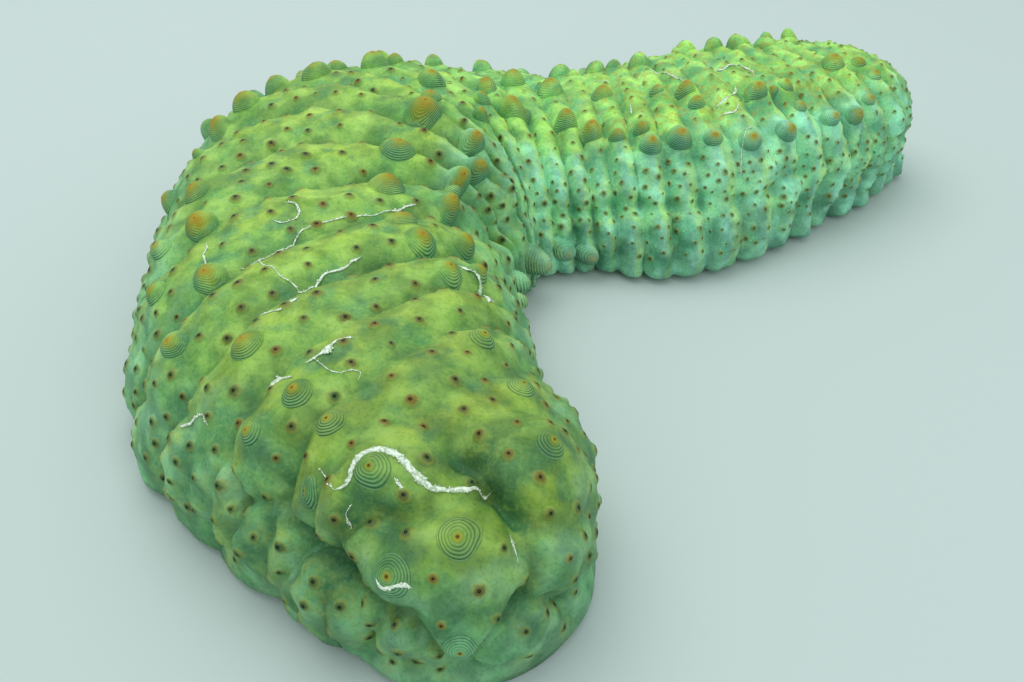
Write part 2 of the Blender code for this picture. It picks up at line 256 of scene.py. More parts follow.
def soft_step(edges: tuple, at: np.ndarray) -> np.ndarray:
    """0 before the first edge, 1 after the second, and a soft S between them."""
    t = np.clip((at - edges[0]) / (edges[1] - edges[0]), 0, 1)
    return t * t * (3 - 2 * t)


@dataclass
class BodyForm:
    """The body's surface, smooth or folded, at any station and girth."""

    plan: BodyPlan = field(default_factory=BodyPlan)
    fold_wander: float = 0.20
    fold_wander_size: float = 34.0
    fold_fade_size: float = 26.0
    split_depths: tuple = ((0, 0.0), (60, 1.0), (160, 1.0), (190, 0.5), (250, 0.8), (275, 2.0), (394, 1.6))
    split_size: float = 21.0
    lump_heights: tuple = ((17.0, 1.1), (7.5, 0.62), (3.6, 0.34))
    lump_growth: float = 0.7
    vent_height: float = 21.0
    vent_radius: float = 3.4
    vent_depth: float = 3.8
    vent_wrinkles: int = 9
    seed: int = 11

    def __post_init__(self) -> None:
        """Measures the midline and reads the sizes along it."""
        points, sizes = np.array(self.plan.midline, float), np.array(self.plan.girths, float)
        chord = np.concatenate([[0], np.cumsum(np.hypot(*np.diff(points, axis=0).T))])
        curve = natural_spline(chord, points, np.linspace(0, chord[-1], 3000))
        self.station = np.concatenate([[0], np.cumsum(np.hypot(*np.diff(curve, axis=0).T))])
        heading = np.gradient(curve, axis=0)
        heading /= np.hypot(*heading.T)[:, None]
        spread = natural_spline(sizes[:, 0], sizes[:, 1:], self.station)
        self.columns = np.hstack([curve, heading, spread])
        self.length = float(self.station[-1])
        self.noise = [SoftNoise(self.seed + i) for i in range(6)]
        self.bumps = np.zeros((0, 5))
        lobes = np.array(self.plan.lobes, float)
        self.lobes = np.hstack([self.smooth(lobes[:, 0], lobes[:, 1])[0], lobes[:, 2:]])
        self.furrows = []
        for width, path in self.plan.furrows:
            where, around, depths = np.array(path, float).T
            self.furrows.append((width, self.smooth(where, around)[0], depths))

    def taper(self, station: np.ndarray) -> np.ndarray:
        """1 along the body, falling to 0 at both tips as a rounded end does."""
        plan, result = self.plan, np.ones_like(station)
        for rest in (station, self.length - station):
            share = np.clip(1 - rest / plan.end_length, 0, 1)
            result = result * (1 - share**plan.end_power) ** (1 / plan.end_power)
        return np.maximum(result, 1e-4)

    def smooth(self, station: np.ndarray, girth: np.ndarray) -> tuple:
        """The smooth body.

        Args:
            station: Distance of each point along the body.
            girth: Place of each point over the back.

        Returns:
            Points and outward normals, one a row.
        """
        plan = self.plan
        x, y, ahead_x, ahead_y, right, left, tall = (
            np.interp(station, self.station, column) for column in self.columns.T
        )
        ahead = np.stack([ahead_x, ahead_y, 0 * x], 1)
        ahead /= np.linalg.norm(ahead, axis=1)[:, None]
        across = np.stack([ahead[:, 1], -ahead[:, 0], 0 * x], 1)
        nudge = 0.001
        taper = self.taper(station)
        shrink = (self.taper(station + nudge) - self.taper(station - nudge)) / (2 * nudge)
        side, up = np.cos(math.pi * girth), np.maximum(np.sin(math.pi * girth), 0)
        half = np.where(side > 0, right, left) * taper
        left_tall = np.where(station > self.length / 2, plan.end_heights[1], plan.end_heights[0])
        kept = left_tall + (1 - left_tall) * taper
        tall = tall * kept
        out = half * np.sign(side) * np.abs(side) ** plan.section_power
        z = plan.edge_lift + (tall - plan.edge_lift) * up**plan.section_power
        point = np.stack([x, y, z], 1) + across * out[:, None]
        normal_out = np.sign(side) * np.abs(side) ** (2 - plan.section_power) / half
        normal_up = up ** (2 - plan.section_power) / tall
        size = np.hypot(normal_out, normal_up)
        height_shrink = (1 - left_tall) * shrink / kept
        tip = (normal_out * out * shrink / taper + normal_up * z * height_shrink) / size
        normal = across * (normal_out / size)[:, None] - ahead * tip[:, None]
        normal[:, 2] += normal_up / size
        return point, normal / np.linalg.norm(normal, axis=1)[:, None]

    def lag(self, station: np.ndarray, girth: np.ndarray) -> np.ndarray:
        """How much further along than on the middle of the back a fold lies."""
        plan = self.plan
        turned = soft_step(plan.fold_lag_grows, station)
        turned = turned * (1 - soft_step(plan.fold_lag_fades, station))
        share = plan.fold_lag_limit * np.tanh((0.5 - girth) / plan.fold_lag_limit)
        return plan.fold_lag * turned * share

    def vent(self, smooth: np.ndarray) -> tuple:
        """The puckered vent at the tail's tip: how deep each point lies, and how near it is."""
        x, y, ahead_x, ahead_y = self.columns[-1, :4]
        gap = smooth - (x, y, self.vent_height)
        turn = np.arctan2(gap[:, 2], gap[:, 0] * ahead_y - gap[:, 1] * ahead_x)
        reach = np.linalg.norm(gap, axis=1) / self.vent_radius
        wrinkle = np.cos(self.vent_wrinkles * turn) * reach**2 * np.exp(-(reach**2) / 2.2)
        lip = np.exp(-(((reach - 1.7) / 0.7) ** 2))
        near = np.exp(-(reach**2))
        return self.vent_depth * near + 0.45 * wrinkle - 0.7 * lip, near + 0.25 * wrinkle

    def relief(self, station: np.ndarray, girth: np.ndarray, smooth: np.ndarray) -> tuple:
        """Folds, creases, swellings, mounds and lumps over the smooth body.

        Args:
            station: Station of each point's fold on the middle of the back.
            girth: Place of each point over the back.
            smooth: The points on the smooth body.

        Returns:
            The rise over the smooth body, how far up its fold each point is,
            how far up a lump, and how far over to the hind edge of its fold.
        """
        plan, noise = self.plan, self.noise
        fold = np.interp(station, plan.crests, range(len(plan.crests)))
        inside = soft_step((plan.crests[0], plan.crests[1]), station)
        fold = fold + self.fold_wander * inside * noise[0].at(smooth, self.fold_wander_size)
        flank = np.minimum(girth, 1 - girth)
        hind = soft_step((205, 270), station) * soft_step((0.40, 0.28), flank)
        roundness = plan.fold_roundness + (plan.hind_roundness - plan.fold_roundness) * hind
        roll = np.abs(np.cos(math.pi * fold)) ** roundness
        for crease, full, none, share in plan.merged_creases:
            merged = (np.floor(fold) == crease) * (1 - soft_step((full, none), girth))
            roll = roll + (1 - roll) * merged * share
        fade = np.clip(0.92 + 0.65 * noise[1].at(smooth, self.fold_fade_size), 0.42, 1.2)
        low = np.clip((plan.flank_crease - flank) / plan.flank_crease, 0, 1)
        deepen = 1 + 0.9 * low * soft_step((200, 270), station)
        rise = -np.interp(station, *zip(*plan.fold_depths)) * fade * (1 - roll) * deepen
        split = 1 - np.abs(np.sin(math.pi * fold)) ** 0.8
        where = np.clip(1.6 * noise[5].at(smooth, self.split_size) - 0.1, 0, 1)
        where = where * (1 - 0.7 * soft_step((250, 275), station) * soft_step((0.26, 0.36), girth))
        split = split * where * inside
        rise = rise - np.interp(station, *zip(*self.split_depths)) * split
        middle = plan.flank_crease + 0.022 * noise[2].at(smooth, 22.0)
        crease = np.exp(-(((flank - middle) / plan.flank_crease_width) ** 2))
        crease = crease * np.clip(0.42 + 1.0 * noise[3].at(smooth, 24.0), 0, 1.0)
        calm = soft_step((0, 22), self.length - station)
        rise = rise - plan.flank_crease_depth * crease * calm
        low = np.sin(math.pi * low / 1.6) * calm
        rise = rise + plan.foot_bulge * roll * low
        rise = rise - np.interp(station, *zip(*plan.low_tucks)) * low
        lobe = np.zeros(len(smooth))
        for x, y, z, radius, height in self.lobes:
            share = np.linalg.norm(smooth - (x, y, z), axis=1) / radius
            lobe = np.maximum(lobe, height * np.clip(1 - share**2, 0, 1) ** plan.lobe_power)
        rise = rise + lobe
        depth = (1 - roll) * fade + 0.5 * split + 0.3 * crease
        for width, path, depths in self.furrows:
            gap, most = gap_to_path(smooth, path, depths)
            carve = most * np.exp(-((gap / width) ** 2))
            rise, depth = rise - carve, depth + 0.3 * carve
        for x, y, z, radius, height in self.bumps:
            near = (np.abs(smooth[:, 0] - x) < radius) & (np.abs(smooth[:, 1] - y) < radius)
            near = np.nonzero(near)[0]
            share = np.linalg.norm(smooth[near] - (x, y, z), axis=1) / radius
            rise[near] += height * np.clip(1 - share**2, 0, 1) ** 2
        grown = 1 + self.lump_growth * soft_step((200, 290), station) * soft_step((0.38, 0.24), flank)
        lump = np.zeros(len(smooth))
        for scale, height in self.lump_heights:
            read = noise[4].at(smooth + scale, scale)
            rise = rise + height * read * grown
            lump = lump + read * (scale < 10)
        sunk, near = self.vent(smooth)
        rise, depth = rise - sunk, depth + 1.3 * near
        tip = 1 - soft_step((4, 16), np.minimum(station, self.length - station))
        rise = rise * (1 - tip * (1 - soft_step((0.0, 0.06), flank)))
        return rise, 1 - depth, lump, np.sin(2 * math.pi * fold) * inside

    def skin(self, station: np.ndarray, girth: np.ndarray) -> dict:
        """The folded skin, given each point's fold station and girth.

        Returns:
            Points, smooth normals, true stations, girths and fold heights.
        """
        station = np.asarray(station, float)
        girth = np.broadcast_to(np.asarray(girth, float), station.shape)
        along = np.clip(station + self.lag(station, girth), 0.002, self.length - 0.002)
        smooth, normal = self.smooth(along, girth)
        rise, crest, lump, edge = self.relief(station, girth, smooth)
        tall = np.interp(along, self.station, self.columns[:, 6])
        high = np.clip(smooth[:, 2] / tall, 0, 1) ** (1 / self.plan.section_power)
        turned = soft_step((80, 170), along) * (1 - soft_step((0.28, 0.46), girth))
        turned = turned * soft_step((0, 30), self.length - along)
        side = 0.5 - np.arcsin(high) / math.pi + 0.09 * turned
        return {
            "points": smooth + normal * rise[:, None], "normals": normal, "along": along,
            "girth": girth, "crest": crest, "side": side, "lump": lump, "edge": edge,
        }


@dataclass
class MeshParts:
    """Points, faces and per-point values gathered into one mesh."""

    name: str
    points: list = field(default_factory=list)
    faces: list = field(default_factory=list)
    values: dict = field(default_factory=dict)
    places: list = field(default_factory=list)
    count: int = 0

    def add(self, points: np.ndarray, faces: np.ndarray, places: np.ndarray, **values) -> None:
        """Adds a patch of quads or triangles.

        Args:
            points: Places in millimetres.
            faces: Rows of point numbers.
            places: Where each point lies on the unwrapped skin.
            **values: One number a point, by the attribute's name.
        """
        self.points.append(points)
        self.faces.append(faces + self.count)
        self.places.append(places)
        for key, value in values.items():
            value = np.broadcast_to(np.asarray(value, float), (len(points),))
            self.values.setdefault(key, []).append(value)
        self.count += len(points)

    def build(self) -> bpy.types.Object:
        """Makes the object, smooth shaded, with its attributes and its OFBake map."""
        mesh = bpy.data.meshes.new(self.name)
        points = np.concatenate(self.points) * MM
        loops = np.concatenate([f.ravel() for f in self.faces]).astype(np.int32)
        sizes = np.concatenate([np.full(len(f), f.shape[1]) for f in self.faces])
        starts = np.concatenate([[0], np.cumsum(sizes)[:-1]]).astype(np.int32)
        mesh.vertices.add(len(points))
        mesh.vertices.foreach_set("co", points.astype(np.float32).ravel())
        mesh.loops.add(len(loops))
        mesh.loops.foreach_set("vertex_index", loops)
        mesh.polygons.add(len(starts))
        mesh.polygons.foreach_set("loop_start", starts)
        mesh.polygons.foreach_set("use_smooth", np.ones(len(starts), bool))
        mesh.update(calc_edges=True)
        for key, rows in self.values.items():
            attribute = mesh.attributes.new(key, "FLOAT", "POINT")
            attribute.data.foreach_set("value", np.concatenate(rows).astype(np.float32))
        unwrap = mesh.uv_layers.new(name="OFBake")
        places = np.concatenate(self.places)[loops].astype(np.float32)
        unwrap.data.foreach_set("uv", places.ravel())
        mesh.validate()
        thing = bpy.data.objects.new(self.name, mesh)
        bpy.context.scene.collection.objects.link(thing)
        return thing


def grid_faces(rows: int, columns: int, closed: bool) -> np.ndarray:
    """Quads between neighbouring rows of points.

    Args:
        rows: Number of rows.
        columns: Points in each row.
        closed: Whether each row joins its own start.

    Returns:
        One row of four point numbers a face.
    """
    across = np.arange(columns if closed else columns - 1)
    after = (across + 1) % columns
    start = np.arange(rows - 1)[:, None] * columns
    corners = [start + across, start + after, start + columns + after, start + columns + across]
    return np.stack(corners, -1).reshape(-1, 4)


@dataclass
class NodeMaker:
    """Short ways to add shader nodes to one tree."""

    tree: bpy.types.NodeTree

    def link(self, source: object, socket: bpy.types.NodeSocket) -> None:
        """Links a socket, or sets a plain number or colour."""
        if isinstance(source, bpy.types.NodeSocket):
            self.tree.links.new(source, socket)
        elif isinstance(source, tuple):
            socket.default_value = (*source[:3], 1.0)
        else:
            socket.default_value = source

    def value(self, name: str) -> bpy.types.NodeSocket:
        """A point attribute's number."""
        node = self.tree.nodes.new("ShaderNodeAttribute")
        node.attribute_name = name
        return node.outputs["Fac"]

    def place(self) -> bpy.types.NodeSocket:
        """The place on the object in metres."""
        return self.tree.nodes.new("ShaderNodeTexCoord").outputs["Object"]

    def noise(self, place: object, scale: float, detail: float) -> bpy.types.NodeSocket:
        """Soft noise from 0 to 1."""
        node = self.tree.nodes.new("ShaderNodeTexNoise")
        node.inputs["Scale"].default_value = scale
        node.inputs["Detail"].default_value = detail
        self.link(place, node.inputs["Vector"])
        return node.outputs["Fac"]

    def math(self, way: str, first: object, second: object = 0.0) -> bpy.types.NodeSocket:
        """One sum of two numbers."""
        node = self.tree.nodes.new("ShaderNodeMath")
        node.operation = way
        self.link(first, node.inputs[0])
        self.link(second, node.inputs[1])
        return node.outputs[0]

    def ramp(self, number: object, low: float, high: float) -> bpy.types.NodeSocket:
        """0 below low, 1 above high, and a soft S between them."""
        node = self.tree.nodes.new("ShaderNodeMapRange")
        node.interpolation_type = "SMOOTHSTEP"
        node.inputs["From Min"].default_value = low
        node.inputs["From Max"].default_value = high
        self.link(number, node.inputs["Value"])
        return node.outputs["Result"]

    def blend(self, share: object, first: object, second: object, way: str = "MIX") -> bpy.types.NodeSocket:
        """One colour turning into another, or multiplied by it."""
        node = self.tree.nodes.new("ShaderNodeMix")
        node.data_type, node.blend_type = "RGBA", way
        self.link(share, node.inputs["Factor"])
        self.link(first, node.inputs[6])
        self.link(second, node.inputs[7])
        return node.outputs[2]


def finish_material(
    name: str, colour: object, roughness: float, grain: float, grain_scale: float,
    relief: object = None,
) -> bpy.types.Material:
    """A moist material with a colour of its own and a fine grain.

    Args:
        name: The material's name.
        colour: Called with the tree, returns the colour's socket.
        roughness: Roughness of the surface under the wet film.
        grain: Strength of the grain's bump.
        grain_scale: Scale of the grain.
        relief: Called with the tree, returns a height to add to the grain.

    Returns:
        The material.
    """
    material = bpy.data.materials.new(name)
    material.use_nodes = True
    tree = material.node_tree
    shader = tree.nodes["Principled BSDF"]
    make = NodeMaker(tree)
    make.link(colour(tree), shader.inputs["Base Color"])
    shader.inputs["Roughness"].default_value = roughness
    shader.inputs["Specular IOR Level"].default_value = 0.22
    bump = tree.nodes.new("ShaderNodeBump")
    bump.inputs["Strength"].default_value = grain
    bump.inputs["Distance"].default_value = 0.0006
    height = make.noise(make.place(), grain_scale, 3.0)
    if relief:
        height = make.math("ADD", make.math("MULTIPLY", height, 0.25), relief(tree))
    make.link(height, bump.inputs["Height"])
    make.link(bump.outputs["Normal"], shader.inputs["Normal"])
    return material


@dataclass(frozen=True)
class SkinFinish:
    """Dull green skin, yellow-green on the back and teal on the flanks, partly its own colour and partly painted
    light from above, with painted shade in creases and hollows, on each roll's headward slope, over the head end and
    near the floor.
    """

    back: tuple = (0.182, 0.335, 0.036)
    back_pale: tuple = (0.290, 0.450, 0.068)
    # Darker green of the back: its own blotches, and also painted shade on fold slopes and on each roll's headward
    # slope.
    back_blotch_and_shade: tuple = (0.085, 0.255, 0.070)
    flank: tuple = (0.138, 0.395, 0.172)
    flank_pale: tuple = (0.200, 0.440, 0.245)
    flank_hind: tuple = (0.148, 0.246, 0.166)
    flank_edge: tuple = (0.155, 0.400, 0.110)
    # Dark green painted as shade in creases, furrows and the vent; the grain's dark flecks use it too.
    crease: tuple = (0.024, 0.120, 0.040)
    # Grey-teal low on the flanks: partly the feet's own colour, partly painted shade near the floor.
    low: tuple = (0.155, 0.280, 0.168)
    halo: tuple = (0.27, 0.33, 0.045)
    # Teal and pale mottles: partly random, partly painted shade in the hollows between lumps and painted light on
    # their tops; the grain's pale flecks use the pale colour too.
    teal: tuple = (0.066, 0.215, 0.090)
    pale: tuple = (0.270, 0.440, 0.095)
    # Along each roll's top edge: partly the skin's own olive rim, partly a painted highlight.
    olive_rim_and_highlight: tuple = (0.300, 0.400, 0.060)
    rust: tuple = (0.215, 0.150, 0.016)
    lit: tuple = (1.38, 1.34, 1.28)
    dim: tuple = (0.78, 0.82, 0.82)
    sole: tuple = (0.30, 0.33, 0.20)
    # Painted shade over the head end.
    head_shade: tuple = (0.72, 0.70, 0.68)
    hind_tint: tuple = (1.27, 1.46, 1.76)
    # Painted contact shadow along the lowest band of the hind flanks.
    toe_contact_shadow: tuple = (0.84, 0.86, 0.89)
    roughness: float = 0.6

    def colour(self, tree: bpy.types.NodeTree) -> bpy.types.NodeSocket:
        """Adds the skin's own colour to a tree and returns its socket."""
        make = NodeMaker(tree)
        place = make.place()
        broad, blotch = make.noise(place, 48.0, 2.0), make.noise(place, 110.0, 3.0)
        fine = make.noise(place, 460.0, 4.0)
        back = make.blend(make.ramp(blotch, 0.38, 0.66), self.back, self.back_pale)
        shade = make.math("MULTIPLY", make.ramp(broad, 0.50, 0.68), 0.7)
        back = make.blend(shade, back, self.back_blotch_and_shade)
        slope = make.ramp(make.math("SUBTRACT", 1.0, make.value("crest")), 0.0, 0.5)
        # Painted shade: the back darkens down the slopes of its folds towards the creases.
        back = make.blend(make.math("MULTIPLY", slope, 0.5), back, self.back_blotch_and_shade)
        flank = make.blend(make.ramp(blotch, 0.36, 0.68), self.flank, self.flank_pale)
        hind = make.math("MULTIPLY", make.ramp(make.value("along"), 0.52, 0.66), 0.6)
        flank = make.blend(hind, flank, self.flank_hind)
        flank = make.blend(make.math("MULTIPLY", slope, 0.4), flank, self.flank_edge)
        # The back turns to the flank colour by height: partly the skin's own colour, partly painted light,
        # yellow-green where light falls from above and teal on the flanks.
        wander = make.math("MULTIPLY", make.math("SUBTRACT", blotch, 0.5), 0.22)
        side = make.math("ADD", make.value("side"), wander)
        colour = make.blend(make.ramp(side, 0.17, 0.34), back, flank)
        # Low on the flanks: partly the feet's own grey-teal, partly painted shade towards the floor.
        colour = make.blend(make.math("MULTIPLY", make.ramp(side, 0.45, 0.56), 0.75), colour, self.low)
        # Painted shade: creases, furrows and the vent darken towards their bottoms.
        depth = make.math("SUBTRACT", 1.0, make.value("crest"))
        stir = make.math("MULTIPLY", make.math("SUBTRACT", fine, 0.5), 0.7)
        depth = make.math("ADD", depth, stir)
        colour = make.blend(make.math("MULTIPLY", make.ramp(depth, 0.30, 1.10), 0.8), colour, self.crease)
        halo = make.math("MULTIPLY", make.value("halo"), make.ramp(fine, 0.3, 0.6))
        colour = make.blend(make.math("MULTIPLY", halo, 0.5), colour, self.halo)
        # Along each roll's top edge, on its tailward side: partly the skin's own olive rim, partly a painted
        # highlight.
        edge = make.math("ADD", make.value("edge"), make.math("MULTIPLY", stir, 0.8))
        lip = make.math("MULTIPLY", make.ramp(edge, 0.25, 1.0), make.ramp(depth, 0.85, 0.45))
        colour = make.blend(make.math("MULTIPLY", lip, 0.42), colour, self.olive_rim_and_highlight)
        # Painted shade on the slope of each roll that faces the head end.
        under = make.math("MULTIPLY", make.ramp(edge, -0.1, -1.0), 0.30)
        colour = make.blend(under, colour, self.back_blotch_and_shade)
        # Mottling, partly random and partly painted light and shade on the lumps: teal in the hollows between them,
        # pale on their tops.
        lump = make.math("MULTIPLY", make.value("lump"), 0.20)
        mottle_and_lump_shading = make.math("SUBTRACT", make.noise(place, 160.0, 2.0), lump)
        pale = make.blend(make.ramp(side, 0.20, 0.34), self.pale, self.flank_pale)
        colour = make.blend(make.math("MULTIPLY", make.ramp(mottle_and_lump_shading, 0.44, 0.84), 0.75), colour, self.teal)
        colour = make.blend(make.math("MULTIPLY", make.ramp(mottle_and_lump_shading, 0.52, 0.20), 0.65), colour, pale)
        rust = make.math("MULTIPLY", make.ramp(fine, 0.50, 0.60), make.ramp(side, 0.32, 0.20))
        rust = make.math("MULTIPLY", rust, make.ramp(make.value("along"), 0.60, 0.72))
        colour = make.blend(make.math("MULTIPLY", rust, 0.55), colour, self.rust)
        grain = make.noise(place, 1300.0, 2.0)
        colour = make.blend(make.math("MULTIPLY", make.ramp(grain, 0.50, 0.72), 0.28), colour, self.crease)
        colour = make.blend(make.math("MULTIPLY", make.ramp(grain, 0.48, 0.30), 0.26), colour, pale)
        light = make.math("ADD", make.noise(place, 140.0, 1.0), make.math("MULTIPLY", fine, 0.45))
        light = make.blend(make.ramp(light, 0.52, 0.92), self.dim, self.lit)
        colour = make.blend(1.0, colour, light, "MULTIPLY")
        along = make.value("along")
        # Painted shade: the head end darkened where the light falls off; towards the tail the skin turns lighter and
        # bluer.
        front = make.blend(make.ramp(along, 0.03, 0.30), self.head_shade, (1.0, 1.0, 1.0))
        tint = make.blend(make.ramp(along, 0.46, 0.66), front, self.hind_tint)
        colour = make.blend(1.0, colour, tint, "MULTIPLY")
        # Painted contact shadow: the lowest band of the hind flanks darkened just above the floor.
        toe_contact_shadow = make.math("ADD", make.value("side"), make.math("MULTIPLY", make.math("SUBTRACT", blotch, 0.5), 0.06))
        toe_contact_shadow = make.math("MULTIPLY", make.ramp(toe_contact_shadow, 0.470, 0.498), make.ramp(along, 0.50, 0.60))
        colour = make.blend(toe_contact_shadow, colour, self.toe_contact_shadow, "MULTIPLY")
        return make.blend(make.value("sole"), colour, self.sole)

    def make(self) -> bpy.types.Material:
        """The skin's material."""
        return finish_material("dull_skin", self.colour, self.roughness, 0.25, 1100.0)


@dataclass
class BodySkin:
    """The one skin over the whole body, sole and all."""

    form: BodyForm
    first_podium: int = 0
    finish: SkinFinish = field(default_factory=SkinFinish)
    ring_step: float = 1.0
    around: int = 170
    under: int = 26
    tip_rings: int = 62

    def stations(self) -> np.ndarray:
        """Ring stations, crowding towards both tips."""
        end = self.form.plan.end_length
        tip = end * (1 - np.cos(np.linspace(0.0125, math.pi / 2, self.tip_rings)))
        inner = np.arange(end + 1, self.form.length - end - 1, self.ring_step)
        return np.concatenate([tip, inner, self.form.length - tip[::-1]])

    def halos(self, points: np.ndarray) -> np.ndarray:
        """How near each point is to a podium, from 0 to 1."""
        halo = np.zeros(len(points))
        for x, y, z, radius, _ in self.form.bumps[self.first_podium:]:
            near = (np.abs(points[:, 0] - x) < radius) & (np.abs(points[:, 1] - y) < radius)
            near = np.nonzero(near)[0]
            share = np.linalg.norm(points[near] - (x, y, z), axis=1) / radius
            halo[near] = np.maximum(halo[near], np.clip(1.2 - share, 0, 1))
        return halo

    def build(self) -> bpy.types.Object:
        """Builds, dresses and mounts the skin."""
        form, plan = self.form, self.form.plan
        stations = self.stations()
        girths = np.linspace(0, 1, self.around + 1)
        count, rings = len(girths) + self.under, len(stations)
        top = form.skin(np.repeat(stations, len(girths)), np.tile(girths, rings))
        shape = (rings, len(girths))
        points = np.zeros((rings, count, 3))
        points[:, :len(girths)] = top["points"].reshape(*shape, 3)
        right, left = points[:, 0], points[:, len(girths) - 1]
        for i, across in enumerate(np.linspace(1, -1, self.under) * plan.sole_share):
            sole = (right + left) / 2 + (left - right) / 2 * across
            sole[:, 2] = 0.35
            points[:, len(girths) + i] = sole
        places = np.zeros((rings, count, 2))
        places[..., 0] = stations[:, None] / form.length
        places[:, :len(girths), 0] = top["along"].reshape(shape) / form.length
        places[:, :len(girths), 1] = girths * 0.5
        places[:, len(girths):, 1] = np.linspace(0.55, 0.85, self.under)
        top["halo"] = self.halos(top["points"])
        top["along"] = top["along"] / form.length
        values = {}
        for key in ("side", "crest", "halo", "along", "lump", "edge"):
            over = top[key].reshape(shape)
            values[key] = np.concatenate([over, np.repeat(over[:, -1:], self.under, 1)], 1)
        below = np.clip(3 - 3 * np.abs(np.linspace(1, -1, self.under)), 0, 1)
        inside = soft_step((2, 8), np.minimum(stations, form.length - stations))
        values["sole"] = np.concatenate([np.zeros(shape), inside[:, None] * below], 1)
        parts = MeshParts("body_skin")
        faces = grid_faces(rings, count, closed=True)[:, ::-1]
        flat = {key: value.ravel() for key, value in values.items()}
        parts.add(points.reshape(-1, 3), faces, places.reshape(-1, 2), **flat)
        up = np.arange(self.around // 2)
        down = self.around - up
        strip = np.stack([up, up + 1, down - 1, down], 1)[:-1]
        peak = [[up[-1], up[-1] + 1, up[-1] + 2]]
        under = np.arange(self.around + 1, count - 1)
        foot = np.stack([np.zeros_like(under), under, under + 1], 1)
        foot = np.vstack([[[0, self.around, self.around + 1]], foot])
        for ring in (0, rings - 1):
            parts.faces += [part + ring * count for part in (strip, np.array(peak), foot)]
        skin = parts.build()
        shell = bmesh.new()
        shell.from_mesh(skin.data)
        bmesh.ops.recalc_face_normals(shell, faces=shell.faces)
        shell.to_mesh(skin.data)
        shell.free()
        skin.data.materials.append(self.finish.make())
        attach(skin, BODY)
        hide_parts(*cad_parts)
        return skin


@dataclass(frozen=True)
class Spot:
    """Where a knob stands, counted along the back, and its size in millimetres."""

    station: float
    girth: float
    width: float
    height: float
    kind: Knob = Knob.PAPILLA


